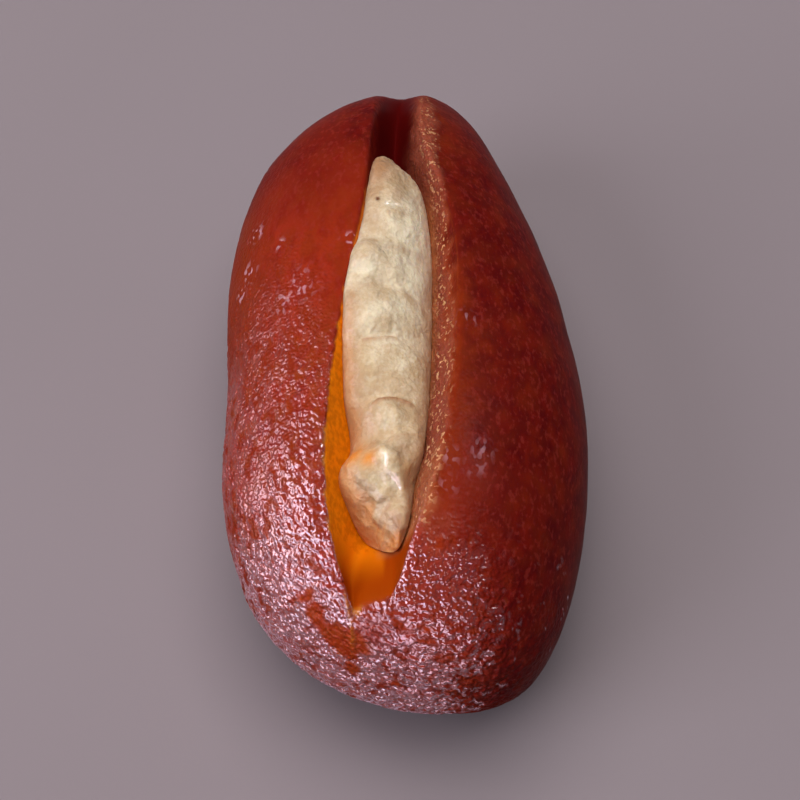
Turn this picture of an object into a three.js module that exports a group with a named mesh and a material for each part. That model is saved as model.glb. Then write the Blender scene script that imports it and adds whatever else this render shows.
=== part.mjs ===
// Cham cham: a syrup-soaked roll of milk dough, slit along its top and filled.
// Millimetres, +Z up. The roll lies along Y on its flat spot at z = 0; its fatter end is at -Y.
// The slit stops short of the -Y end and runs out over the +Y end.

import * as THREE from "three";

// Roll of dough
const LENGTH = 77.2;
const LEFT_HALF_WIDTH = 20.3;
const RIGHT_HALF_WIDTH = 19.8;
const WIDEST_LEVEL = 15.2;
const CROWN_RISE = 18.0;
const BELLY_DROP = 16.0; // deeper than the widest level, so the underside is pressed flat at z = 0
const WIDTH_TAPER = 0.135; // share by which the width grows toward -Y and shrinks toward +Y
const CROWN_TAPER = 0.06;
const BEND = -0.4; // sideways bow of both ends
const TIP_SHIFT = 4.5; // how far right of the middle both tips lie
const TIP_POWER = 6; // higher keeps that shift nearer the tips
const WAIST = { depth: 0.053, place: -0.07, spread: 0.25 }; // shallow dent in the left flank
const NEAR_END = { left: 2.3, right: 2.15, height: 2.45 }; // roundness of the -Y end, higher is blunter
const FAR_END = { left: 2.75, right: 2.35, height: 2.55 };
const SIDE_POWER = 0.95; // 1 is an ellipse, less is squarer
const BELLY_POWER = 0.85;
const LUMPS = [
  { size: 0.008, around: 3, along: 4.1, turn: 0.6 },
  { size: 0.006, around: 5, along: -6.7, turn: 2.1 },
  { size: 0.004, around: 8, along: 9.3, turn: 4.0 },
];

// Slit: each lip is a line of [y, x] that a smooth curve passes through
const LEFT_LIP = [[39, 0.6], [28, -1.3], [14, -3.4], [0, -6.5], [-14, -8.9], [-24, -9.1], [-33, -7.0]];
const RIGHT_LIP = [
  [39, 5.6], [27, 3.8], [20, 4.3], [10, 6.2], [-3, 5.6], [-14, 3.6], [-24, 0.2], [-33, -3.6],
];
const SLIT_DEPTH = 9.5;
const SLIT_POWER = 1.4; // 1 is a sharp V, 2 a round trough
const SLIT_FADE_START = 12; // y where the floor begins to rise toward the +Y end
const SLIT_FADE_POWER = 1.5;
const SLIT_END_Y = -31.3; // where the slit's end wall meets the skin at x = 0
const SLIT_END_SKEW = 0.17;
const SLIT_END_SLOPE = 0.95;
const LIP_ROUNDING = 0.9;
const FLOOR_ROUNDING = 2.0;
const LIP_REACH = 0.6; // share of a half-width beyond which the mesh stops following a lip
const LIP_SPREAD = 0.12; // least share of the width that the mesh keeps between the lips

// Filling, between the lines where it meets the walls of the slit
const FILLING_NEAR_Y = -26.5;
const FILLING_FAR_Y = 21.5;
const FILLING_LEFT = [
  [23, -1.8], [16, -2.8], [12, -3.5], [8, -4.4], [5, -5.4], [0, -6.3], [-10, -6.8], [-15, -6.4],
  [-19, -7.8], [-22, -7.0], [-24, -5.7], [-28, -2.5],
];
const FILLING_RIGHT = [
  [23, 0.9], [19.5, 2.5], [16, 3.6], [10, 3.9], [0, 3.2], [-10, 2.1], [-16, 1.1], [-20, 0.3],
  [-24, -0.6], [-28, -1.6],
];
const FILLING_CROWN = 3.1;
const FILLING_END_POWER = 16; // bluntness of both ends
const FILLING_GAP = 0.3;
const TILT_STEP = 0.05; // distance over which the tilt of the slit's surface is measured
const CREASES = [15.6, 8.0, 1.6, -4.6, -11.4];
const CREASE_DEPTH = 0.45;
const CREASE_WIDTH = 0.9;
const CREASE_BOW = 1.1;
const LOBES = [
  { x: 0.8, y: 10.6, length: 4.0, width: 3.0, turn: 0, rise: 0.5 },
  { x: -4.0, y: 5.2, length: 1.9, width: 2.3, turn: 0.4, rise: 0.7 },
  { x: 0.8, y: 3.4, length: 1.7, width: 3.2, turn: -0.2, rise: 0.4 },
  { x: -2.6, y: -1.8, length: 2.4, width: 3.4, turn: 0, rise: 0.35 },
  { x: -3.2, y: -13.6, length: 1.8, width: 2.1, turn: 0, rise: 0.9 },
  { x: 0.0, y: -16.0, length: 2.6, width: 2.3, turn: 0, rise: 0.4 },
  { x: -2.3, y: -19.5, length: 2.9, width: 1.3, turn: 0.6, rise: 1.1 },
  { x: -5.0, y: -21.4, length: 2.4, width: 2.2, turn: 0, rise: 0.6 },
  { x: -2.3, y: -24.6, length: 1.5, width: 1.5, turn: 0, rise: 0.6 },
  { x: 0.4, y: -20.4, length: 1.4, width: 1.3, turn: 0, rise: -0.8 },
];

// Mesh steps
const ROLL_STATIONS = 54;
const FLANK_STEPS = 18;
const SLIT_STEPS = 20;
const FILLING_STATIONS = 76;
const MOUND_STEPS = 16;
const KEEL_STEPS = 8;

// Finishes
const SYRUPY_DOUGH = { color: 0x7a2018, roughness: 0.35, metalness: 0 };
const CREAM = { color: 0xdcc39e, roughness: 0.5, metalness: 0 };

/** Value at y of the smooth curve through points [y, value], y falling; held level beyond its ends. */
function along(points, y) {
  if (y >= points[0][0]) return points[0][1];
  if (y <= points[points.length - 1][0]) return points[points.length - 1][1];
  let i = 0;
  while (i < points.length - 2 && y < points[i + 1][0]) i += 1;
  const slope = (k) => {
    const a = points[Math.max(k - 1, 0)];
    const b = points[Math.min(k + 1, points.length - 1)];
    return (b[1] - a[1]) / (b[0] - a[0]);
  };
  const span = points[i + 1][0] - points[i][0];
  const t = (y - points[i][0]) / span;
  const rise = points[i + 1][1] - points[i][1];
  const ease = t * t * (3 - 2 * t);
  return points[i][1] + rise * ease
    + span * slope(i) * t * (1 - t) ** 2
    - span * slope(i + 1) * t * t * (1 - t);
}

/** Larger of a and b, with the corner between them rounded over the width given. */
function roundedMax(a, b, width) {
  const share = clamp(0.5 + (a - b) / (2 * width), 0, 1);
  return b + (a - b) * share + width * share * (1 - share);
}

/** Value held between low and high. */
function clamp(value, low, high) {
  return Math.min(high, Math.max(low, value));
}

/** Number raised to a power with its sign kept. */
function signedPower(value, power) {
  return Math.sign(value) * Math.abs(value) ** power;
}

/** Half-widths and heights of the roll's section at s, from -1 at the near tip to 1 at the far tip. */
function section(s) {
  const end = s < 0 ? NEAR_END : FAR_END;
  const fall = (power) => Math.max(0, 1 - Math.abs(s) ** power) ** (1 / power);
  const dent = 1 - WAIST.depth * Math.exp(-(((s - WAIST.place) / WAIST.spread) ** 2));
  const taper = 1 - WIDTH_TAPER * s;
  return {
    s,
    y: (LENGTH / 2) * s,
    centre: BEND * s ** 2 + TIP_SHIFT * s ** TIP_POWER,
    left: LEFT_HALF_WIDTH * fall(end.left) * taper * dent,
    right: RIGHT_HALF_WIDTH * fall(end.right) * taper,
    up: CROWN_RISE * fall(end.height) * (1 - CROWN_TAPER * s),
    down: BELLY_DROP * fall(end.height),
  };
}

/** Point [x, z] of the uncut skin at an angle round the section: 0 is right, a quarter turn is up. */
function skin(cut, angle) {
  const c = signedPower(Math.cos(angle), SIDE_POWER);
  const above = Math.sin(angle) > 0;
  const rise = signedPower(Math.sin(angle), above ? SIDE_POWER : BELLY_POWER);
  let swell = 1;
  for (const lump of LUMPS) {
    const wave = Math.sin(lump.around * angle + lump.turn);
    swell += lump.size * wave * Math.cos(lump.along * cut.s + lump.turn);
  }
  const x = cut.centre + c * (c < 0 ? cut.left : cut.right) * swell;
  const z = WIDEST_LEVEL + rise * (above ? cut.up : cut.down) * swell;
  return [x, Math.max(z, 0)];
}

/** Angle at which the upper skin stands over x. */
function angleOver(cut, x) {
  const c = (x - cut.centre) / (x < cut.centre ? cut.left : cut.right);
  return Math.acos(signedPower(clamp(c, -1, 1), 1 / SIDE_POWER));
}

/** Depth of the slit below the skin at x, y; zero outside it. */
function slitDepth(x, y) {
  const left = along(LEFT_LIP, y);
  const right = along(RIGHT_LIP, y);
  const across = Math.abs((2 * x - left - right) / (right - left));
  const fade = clamp((y - SLIT_FADE_START) / (LENGTH / 2 - SLIT_FADE_START), 0, 1);
  const trough = SLIT_DEPTH * (1 - fade ** SLIT_FADE_POWER) * (1 - across ** SLIT_POWER);
  const endWall = SLIT_END_SLOPE * (y - SLIT_END_Y - SLIT_END_SKEW * x);
  const depth = -roundedMax(-trough, -endWall, FLOOR_ROUNDING);
  return roundedMax(depth, 0, LIP_ROUNDING);
}

/** Closed mesh from rings of [x, y, z] with a pole at each end; rings run counter-clockwise seen from -Y. */
function loft(rings, firstPole, lastPole) {
  const around = rings[0].length;
  const places = [firstPole, ...rings.flat(), lastPole];
  const last = places.length - 1;
  const faces = [];
  for (let j = 0; j < around; j += 1) {
    const k = (j + 1) % around;
    faces.push(0, 1 + j, 1 + k);
    for (let i = 0; i < rings.length - 1; i += 1) {
      const a = 1 + i * around;
      const b = a + around;
      faces.push(a + j, b + j, b + k, a + j, b + k, a + k);
    }
    const a = 1 + (rings.length - 1) * around;
    faces.push(a + j, last, a + k);
  }
  const geometry = new THREE.BufferGeometry();
  geometry.setAttribute("position", new THREE.Float32BufferAttribute(places.flat(), 3));
  geometry.setIndex(faces);
  geometry.computeVertexNormals();
  return geometry;
}

/** Angles of one ring of the roll: up the right flank, across the slit and down the left flank. */
function ringAngles(cut) {
  const width = cut.left + cut.right;
  const lipLeft = Math.max(along(LEFT_LIP, cut.y), cut.centre - LIP_REACH * cut.left);
  const lipRight = clamp(
    along(RIGHT_LIP, cut.y),
    lipLeft + LIP_SPREAD * width,
    cut.centre + LIP_REACH * cut.right,
  );
  const right = angleOver(cut, lipRight);
  const left = angleOver(cut, lipLeft);
  const angles = [];
  for (let i = 0; i < FLANK_STEPS; i += 1) {
    angles.push(-Math.PI / 2 + (right + Math.PI / 2) * (i / FLANK_STEPS));
  }
  for (let i = 0; i < SLIT_STEPS; i += 1) {
    const t = 0.5 - 0.5 * Math.cos(Math.PI * (i / SLIT_STEPS));
    angles.push(angleOver(cut, lipRight + (lipLeft - lipRight) * t));
  }
  for (let i = 0; i < FLANK_STEPS; i += 1) {
    angles.push(left + (1.5 * Math.PI - left) * (i / FLANK_STEPS));
  }
  return angles;
}

/** The roll with its slit. */
function roll() {
  const rings = [];
  for (let i = 1; i < ROLL_STATIONS; i += 1) {
    const cut = section(-Math.cos(Math.PI * (i / ROLL_STATIONS)));
    rings.push(ringAngles(cut).map((angle) => {
      const [x, z] = skin(cut, angle);
      return [x, cut.y, z - (Math.sin(angle) > 0 ? slitDepth(x, cut.y) : 0)];
    }));
  }
  const tip = (s) => [section(s).centre, section(s).y, WIDEST_LEVEL];
  return loft(rings, tip(-1), tip(1));
}

/** Height of the slit's surface at x, y. */
function slitHeight(x, y) {
  const cut = section((2 * y) / LENGTH);
  return skin(cut, angleOver(cut, x))[1] - slitDepth(x, y);
}

/** Height that clears the slit's surface at x, y by the gap, measured square to it. */
function clearHeight(x, y) {
  const height = slitHeight(x, y);
  const tiltX = (slitHeight(x + TILT_STEP, y) - height) / TILT_STEP;
  const tiltY = (slitHeight(x, y + TILT_STEP) - height) / TILT_STEP;
  return height + FILLING_GAP * Math.hypot(1, tiltX, tiltY);
}

/** Height added by the lobes of the filling at x, y. */
function lobes(x, y) {
  let rise = 0;
  for (const lobe of LOBES) {
    const acrossIt = (x - lobe.x) * Math.cos(lobe.turn) + (y - lobe.y) * Math.sin(lobe.turn);
    const alongIt = (y - lobe.y) * Math.cos(lobe.turn) - (x - lobe.x) * Math.sin(lobe.turn);
    const reach = (acrossIt / lobe.width) ** 2 + (alongIt / lobe.length) ** 2;
    rise += lobe.rise * Math.exp(-(reach ** 2));
  }
  return rise;
}

/** The filling: a keel that follows the slit and a lobed mound over it. */
function filling() {
  const middle = (FILLING_NEAR_Y + FILLING_FAR_Y) / 2;
  const half = (FILLING_FAR_Y - FILLING_NEAR_Y) / 2;
  const level = (y) => {
    const left = along(FILLING_LEFT, y);
    const right = along(FILLING_RIGHT, y);
    return { left, right, leftZ: clearHeight(left, y), rightZ: clearHeight(right, y) };
  };
  const rings = [];
  for (let i = 1; i < FILLING_STATIONS; i += 1) {
    const t = -Math.cos(Math.PI * (i / FILLING_STATIONS));
    const y = middle + half * t;
    const edge = level(y);
    const fullness = Math.sqrt(1 - Math.abs(t) ** FILLING_END_POWER);
    const heart = [(edge.left + edge.right) / 2, (edge.leftZ + edge.rightZ) / 2];
    const ring = [];
    const put = (x, z) => ring.push([
      heart[0] + (x - heart[0]) * fullness,
      y,
      heart[1] + (z - heart[1]) * fullness,
    ]);
    for (let j = 0; j < KEEL_STEPS; j += 1) {
      const x = edge.left + (edge.right - edge.left) * (0.5 - 0.5 * Math.cos(Math.PI * (j / KEEL_STEPS)));
      put(x, clearHeight(x, y));
    }
    for (let j = 0; j < MOUND_STEPS; j += 1) {
      const v = Math.cos(Math.PI * (j / MOUND_STEPS));
      const x = heart[0] + (v * (edge.right - edge.left)) / 2;
      const base = heart[1] + (v * (edge.rightZ - edge.leftZ)) / 2;
      let crown = FILLING_CROWN + lobes(x, y);
      for (const crease of CREASES) {
        crown -= CREASE_DEPTH * Math.exp(-(((y - crease + CREASE_BOW * v * v) / CREASE_WIDTH) ** 2));
      }
      put(x, base + crown * Math.sqrt(1 - v * v));
    }
    rings.push(ring);
  }
  const pole = (y) => {
    const edge = level(y);
    return [(edge.left + edge.right) / 2, y, (edge.leftZ + edge.rightZ) / 2];
  };
  return loft(rings, pole(FILLING_NEAR_Y), pole(FILLING_FAR_Y));
}

/** A named mesh with its own material. */
function piece(name, geometry, finish) {
  const mesh = new THREE.Mesh(geometry, new THREE.MeshStandardMaterial(finish));
  mesh.name = name;
  return mesh;
}

const chamCham = new THREE.Group();
chamCham.add(piece("dough", roll(), SYRUPY_DOUGH));
chamCham.add(piece("filling", filling(), CREAM));

export default chamCham;
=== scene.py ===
"""Cham cham: a syrup-soaked roll of milk dough, slit along its top and filled with pale cream.

Shapes are worked out in millimetres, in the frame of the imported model: +Z up, the roll along Y on its
flat underside, its fatter end at -Y. They become metres when a mesh is made.
"""

from __future__ import annotations

import logging
import math
from dataclasses import dataclass, field
from enum import Enum

import bpy
import numpy as np
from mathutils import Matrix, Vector, noise


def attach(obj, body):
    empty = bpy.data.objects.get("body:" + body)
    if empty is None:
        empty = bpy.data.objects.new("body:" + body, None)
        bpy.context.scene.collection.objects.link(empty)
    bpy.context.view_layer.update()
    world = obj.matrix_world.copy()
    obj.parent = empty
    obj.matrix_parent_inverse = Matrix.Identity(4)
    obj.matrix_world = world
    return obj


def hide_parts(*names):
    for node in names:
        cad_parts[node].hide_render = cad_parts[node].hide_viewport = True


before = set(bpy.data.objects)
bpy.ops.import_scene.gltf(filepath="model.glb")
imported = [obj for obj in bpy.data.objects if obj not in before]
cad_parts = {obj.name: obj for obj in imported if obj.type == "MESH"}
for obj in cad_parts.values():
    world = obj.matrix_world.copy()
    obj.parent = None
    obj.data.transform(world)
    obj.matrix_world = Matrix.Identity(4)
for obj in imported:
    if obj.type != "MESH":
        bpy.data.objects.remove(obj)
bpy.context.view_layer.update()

MM = 0.001
BODY = "root"
LOG = logging.getLogger("cham_cham")
TINY = 1e-9
SHIFT_WAY = (1.0, 1.7, 0.6)

Colour = tuple[float, float, float]
Point = tuple[float, float, float]
Output = bpy.types.NodeSocket
Feed = Output | float | Colour


class Mask(Enum):
    """Named values that a mesh carries for its finish, each from 0 to 1."""

    CUT = "cut"
    CRUMB = "crumb"
    # Painted shade in the far gap of the slit.
    GAP_SHADE = "gap"
    # Painted shade on the slit's right half and near end.
    WALL_SHADE = "low"
    WRINKLE = "wrinkle"
    BROWN = "brown"
    AMBER = "amber"
    GOLD = "gold"
    # Seam colour, brighter where the crevice lies in shadow: partly painted light.
    SEAM = "seam"
    PALE = "pale"
    STAIN = "stain"
    SHADE = "shade"
    SPECK = "speck"
    WET = "wet"
    BARE = "bare"
    # Painted glints: pale lilac flecks at the glinting spots.
    PAINTED_GLINT = "painted_glint"


@dataclass(frozen=True)
class Ramp:
    """Eased rise from 0 at its start to its amount at its end, which may be the lower of the two."""

    start: float | np.ndarray
    end: float | np.ndarray
    amount: float = 1.0

    def at(self, value: np.ndarray) -> np.ndarray:
        """Ease values from 0 to the amount.

        Args:
            value: Values to ease.

        Returns:
            The eased values, the same shape as value.
        """
        share = np.clip((value - self.start) / (self.end - self.start), 0.0, 1.0)
        return self.amount * share * share * (3.0 - 2.0 * share)

    def toward(self, other: Ramp, share: np.ndarray) -> Ramp:
        """Move the ramp part of the way to another one.

        Args:
            other: Ramp that a share of 1 gives.
            share: How far the ramp is moved, from 0 to 1.

        Returns:
            A ramp with one start and one end for each share.
        """
        start = self.start + (other.start - self.start) * share
        end = self.end + (other.end - self.end) * share
        return Ramp(start, end, self.amount)


@dataclass(frozen=True)
class Window:
    """Eased rise from 0 at its start to its amount, and a fall back to 0 from its fade to its end."""

    start: float
    full: float
    fade: float
    end: float
    amount: float = 1.0

    def at(self, value: np.ndarray) -> np.ndarray:
        """Ease values from 0 to the amount and back."""
        return Ramp(self.start, self.full, self.amount).at(value) * Ramp(self.end, self.fade).at(value)


@dataclass(frozen=True)
class Patch:
    """Soft-edged part of a piece, with the amount that holds inside it."""

    amount: float
    x: Ramp | Window | None = None
    y: Ramp | Window | None = None
    z: Ramp | Window | None = None

    def at(self, places: np.ndarray) -> np.ndarray:
        """Work out the amount at places.

        Args:
            places: Points in millimetres, last axis of length 3.

        Returns:
            The amount at each point, 0 well outside the patch.
        """
        edges = enumerate((self.x, self.y, self.z))
        return self.amount * math.prod(edge.at(places[..., axis]) for axis, edge in edges if edge)


@dataclass(frozen=True)
class Grain:
    """Smooth random field in space; its size is the width of one grain in millimetres."""

    size: float
    seed: float
    amount: float = 1.0

    def at(self, places: np.ndarray) -> np.ndarray:
        """Read the field.

        Args:
            places: Points in millimetres, last axis of length 3.

        Returns:
            Values from about -1 to 1 times the amount, one for each point.
        """
        flat = (places.reshape(-1, 3) / self.size + self.seed).tolist()
        return self.amount * np.array([noise.noise(p) for p in flat]).reshape(places.shape[:-1])


@dataclass(frozen=True)
class Drift:
    """Smooth random vectors in space, with one seed for each axis."""

    size: float
    seeds: tuple[float, float, float]

    def at(self, places: np.ndarray) -> np.ndarray:
        """Read a vector at each of the places, from about -1 to 1 along each axis."""
        return np.stack([Grain(self.size, seed).at(places) for seed in self.seeds], -1)


def bell(distance: np.ndarray, width: float | np.ndarray) -> np.ndarray:
    """Closeness that falls from 1 at no distance to 0 well beyond the width."""
    return np.exp(-((distance / width) ** 2))


def rounded_max(a: np.ndarray, b: np.ndarray | float, width: float) -> np.ndarray:
    """Take the larger of two values, with the corner between them rounded.

    Args:
        a: First values.
        b: Second values.
        width: Difference over which the corner is rounded.

    Returns:
        The rounded maximum.
    """
    share = np.clip(0.5 + (a - b) / (2.0 * width), 0.0, 1.0)
    return b + (a - b) * share + width * share * (1.0 - share)


def signed_power(value: np.ndarray, power: float | np.ndarray) -> np.ndarray:
    """Raise a number to a power and keep its sign."""
    return np.sign(value) * np.abs(value) ** power


def fall_to_tips(s: np.ndarray, near_power: float, far_power: float) -> np.ndarray:
    """Fall from full size at mid-length to nothing at both tips.

    Args:
        s: Stations from -1 at the near tip to 1 at the far tip.
        near_power: Roundness of the near end; a higher number is blunter.
        far_power: Roundness of the far end.

    Returns:
        Share of the full size at each station.
    """
    power = np.where(s < 0, near_power, far_power)
    return np.maximum(0.0, 1.0 - np.abs(s) ** power) ** (1.0 / power)


@dataclass(frozen=True)
class Line:
    """Smooth curve of x against y through a few points, held level beyond its ends."""

    points: tuple[tuple[float, float], ...]

    def at(self, y: np.ndarray) -> np.ndarray:
        """Read the curve.

        Args:
            y: Places along the roll.

        Returns:
            The curve's x at each place.
        """
        ys, xs = np.array(sorted(self.points)).T
        y = np.clip(y, ys[0], ys[-1])
        before = np.concatenate([[0], np.arange(len(ys) - 1)])
        after = np.concatenate([np.arange(1, len(ys)), [len(ys) - 1]])
        slope = (xs[after] - xs[before]) / (ys[after] - ys[before])
        i = np.clip(np.searchsorted(ys, y, side="right") - 1, 0, len(ys) - 2)
        span = ys[i + 1] - ys[i]
        t = (y - ys[i]) / span
        ease = t * t * (3.0 - 2.0 * t)
        bend = slope[i] * t * (1.0 - t) ** 2 - slope[i + 1] * t * t * (1.0 - t)
        return xs[i] + (xs[i + 1] - xs[i]) * ease + span * bend


@dataclass(frozen=True)
class End:
    """Roundness of one end of the roll; a higher number is blunter."""

    left: float
    right: float
    height: float


@dataclass(frozen=True)
class Lump:
    """One wave of the roll's hand-made unevenness."""

    size: float
    around: float
    along: float
    turn: float

    def swell(self, angle: np.ndarray, s: np.ndarray) -> np.ndarray:
        """Share by which the wave swells the roll at an angle and a station."""
        return self.size * np.sin(self.around * angle + self.turn) * np.cos(self.along * s + self.turn)


@dataclass
class Section:
    """Half-widths and heights of the roll at stations along it."""

    s: np.ndarray
    y: np.ndarray
    centre: np.ndarray
    left: np.ndarray
    right: np.ndarray
    up: np.ndarray
    down: np.ndarray


@dataclass(frozen=True)
class RollShape:
    """Outside of the roll before it is slit."""

    length: float = 77.2
    left_half_width: float = 20.3
    right_half_width: float = 19.8
    widest_level: float = 15.2
    crown_rise: float = 18.0
    belly_drop: float = 16.0
    width_taper: float = 0.135
    crown_taper: float = 0.06
    bend: float = -0.4
    tip_shift: float = 4.5
    tip_power: int = 6
    waist_depth: float = 0.053
    waist_place: float = -0.07
    waist_spread: float = 0.25
    near_end: End = End(2.3, 2.15, 2.45)
    far_end: End = End(2.75, 2.35, 2.55)
    side_power: float = 0.95
    belly_power: float = 0.85
    lumps: tuple[Lump, ...] = (
        Lump(0.008, 3, 4.1, 0.6),
        Lump(0.006, 5, -6.7, 2.1),
        Lump(0.004, 8, 9.3, 4.0),
    )

    def section(self, s: np.ndarray) -> Section:
        """Measure the roll at stations.

        Args:
            s: Stations from -1 at the near tip to 1 at the far tip.

        Returns:
            The section at each station.
        """
        near, far = self.near_end, self.far_end
        dent = 1.0 - self.waist_depth * bell(s - self.waist_place, self.waist_spread)
        taper = 1.0 - self.width_taper * s
        height = fall_to_tips(s, near.height, far.height)
        return Section(
            s=s,
            y=self.length / 2 * s,
            centre=self.bend * s**2 + self.tip_shift * s**self.tip_power,
            left=self.left_half_width * fall_to_tips(s, near.left, far.left) * taper * dent,
            right=self.right_half_width * fall_to_tips(s, near.right, far.right) * taper,
            up=self.crown_rise * height * (1.0 - self.crown_taper * s),
            down=self.belly_drop * height,
        )

    def skin(self, cut: Section, angle: np.ndarray) -> tuple[np.ndarray, np.ndarray]:
        """Place points on the uncut skin.

        Args:
            cut: Sections of the roll.
            angle: Angle round each section; 0 is right and a quarter turn is up.

        Returns:
            The points' x and z.
        """
        c = signed_power(np.cos(angle), self.side_power)
        above = np.sin(angle) > 0
        power = np.where(above, self.side_power, self.belly_power)
        rise = signed_power(np.sin(angle), power)
        swell = 1.0 + sum(lump.swell(angle, cut.s) for lump in self.lumps)
        x = cut.centre + c * np.where(c < 0, cut.left, cut.right) * swell
        z = self.widest_level + rise * np.where(above, cut.up, cut.down) * swell
        return x, np.maximum(z, 0.0)

    def angle_over(self, cut: Section, x: np.ndarray) -> np.ndarray:
        """Find where the upper skin stands over x.

        Args:
            cut: Sections of the roll.
            x: Places across it.

        Returns:
            The angle round the section at each place.
        """
        half = np.where(x < cut.centre, cut.left, cut.right)
        c = np.clip((x - cut.centre) / half, -1.0, 1.0)
        return np.arccos(signed_power(c, 1.0 / self.side_power))


@dataclass(frozen=True)
class SlitShape:
    """The cut in the roll's top."""

    left_lip: Line = Line(
        ((39, 0.6), (28, -1.3), (14, -3.4), (0, -6.5), (-14, -8.9), (-24, -9.1), (-33, -7.0))
    )
    right_lip: Line = Line(
        ((39, 5.6), (27, 3.8), (20, 4.3), (10, 6.2), (-3, 5.6), (-14, 3.6), (-24, 0.2), (-33, -3.6))
    )
    depth: float = 9.5
    power: float = 1.4
    fade_start: float = 12.0
    fade_power: float = 1.5
    end_y: float = -31.3
    end_skew: float = 0.17
    end_slope: float = 0.95
    lip_rounding: float = 0.9
    floor_rounding: float = 2.0

    def across(self, x: np.ndarray, y: np.ndarray) -> np.ndarray:
        """Place a point across the slit: -1 is the left lip and 1 the right lip."""
        left, right = self.left_lip.at(y), self.right_lip.at(y)
        return (2.0 * x - left - right) / (right - left)

    def depth_at(self, x: np.ndarray, y: np.ndarray, half_length: float) -> np.ndarray:
        """Measure how far the slit lies below the skin.

        Args:
            x: Places across the roll.
            y: Places along the roll.
            half_length: Half the roll's length, where the slit has faded out.

        Returns:
            The depth at each place, 0 outside the slit.
        """
        fade = np.clip((y - self.fade_start) / (half_length - self.fade_start), 0.0, 1.0)
        profile = 1.0 - np.abs(self.across(x, y)) ** self.power
        trough = self.depth * (1.0 - fade**self.fade_power) * profile
        end_wall = self.end_slope * (y - self.end_y - self.end_skew * x)
        depth = -rounded_max(-trough, -end_wall, self.floor_rounding)
        return rounded_max(depth, 0.0, self.lip_rounding)


@dataclass
class Grid:
    """Rings of points that close into a skin, with a pole at each end."""

    rings: np.ndarray
    first_pole: Point
    last_pole: Point
    masks: dict[Mask, np.ndarray] = field(default_factory=dict)

    def outward(self) -> np.ndarray:
        """Work out the direction square to the skin.

        Returns:
            A vector of length 1 for each ring point.
        """
        ahead = np.gradient(self.rings, axis=0)
        around = np.roll(self.rings, -1, axis=1) - np.roll(self.rings, 1, axis=1)
        out = np.cross(around, ahead)
        return out / np.maximum(np.linalg.norm(out, axis=-1, keepdims=True), TINY)

    def mesh(self, name: str) -> bpy.types.Object:
        """Make the closed mesh.

        Args:
            name: Name of the piece.

        Returns:
            The new object, linked to the scene and shaded smooth.
        """
        stations, around = self.rings.shape[:2]
        places = np.vstack([[self.first_pole], self.rings.reshape(-1, 3), [self.last_pole]]) * MM
        j = np.arange(around)
        k = (j + 1) % around
        start = 1 + np.arange(stations - 1)[:, None] * around
        quads = np.stack([start + j, start + around + j, start + around + k, start + k], -1).reshape(-1, 4)
        last = len(places) - 1
        near = np.stack([np.zeros(around, int), 1 + j, 1 + k], -1)
        far = np.stack([last - around + j, np.full(around, last), last - around + k], -1)
        mesh = bpy.data.meshes.new(name)
        mesh.from_pydata(places.tolist(), [], near.tolist() + quads.tolist() + far.tolist())
        mesh.polygons.foreach_set("use_smooth", np.ones(len(mesh.polygons), bool))
        for mask, values in self.masks.items():
            whole = np.concatenate([[values[0].mean()], values.ravel(), [values[-1].mean()]])
            layer = mesh.attributes.new(mask.value, "FLOAT", "POINT")
            layer.data.foreach_set("value", whole.astype(np.float32))
        mesh.update()
        piece = bpy.data.objects.new(name, mesh)
        bpy.context.collection.objects.link(piece)
        return piece


class Operation(Enum):
    """Way to combine two values in a material."""

    ADD = "ADD"
    SUBTRACT = "SUBTRACT"
    MULTIPLY = "MULTIPLY"
    MAXIMUM = "MAXIMUM"


@dataclass(frozen=True)
class Course:
    """How one value follows another: first where the other is low and last where it is high."""

    low: float = 0.0
    high: float = 1.0
    first: float = 0.0
    last: float = 1.0


@dataclass(frozen=True)
class Pattern:
    """Noise of a finish: size of a blotch in millimetres, octaves, offset and stretch along the roll."""

    size: float
    detail: float
    shift: float = 0.0
    stretch: float = 1.0
    course: Course = Course()


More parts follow.
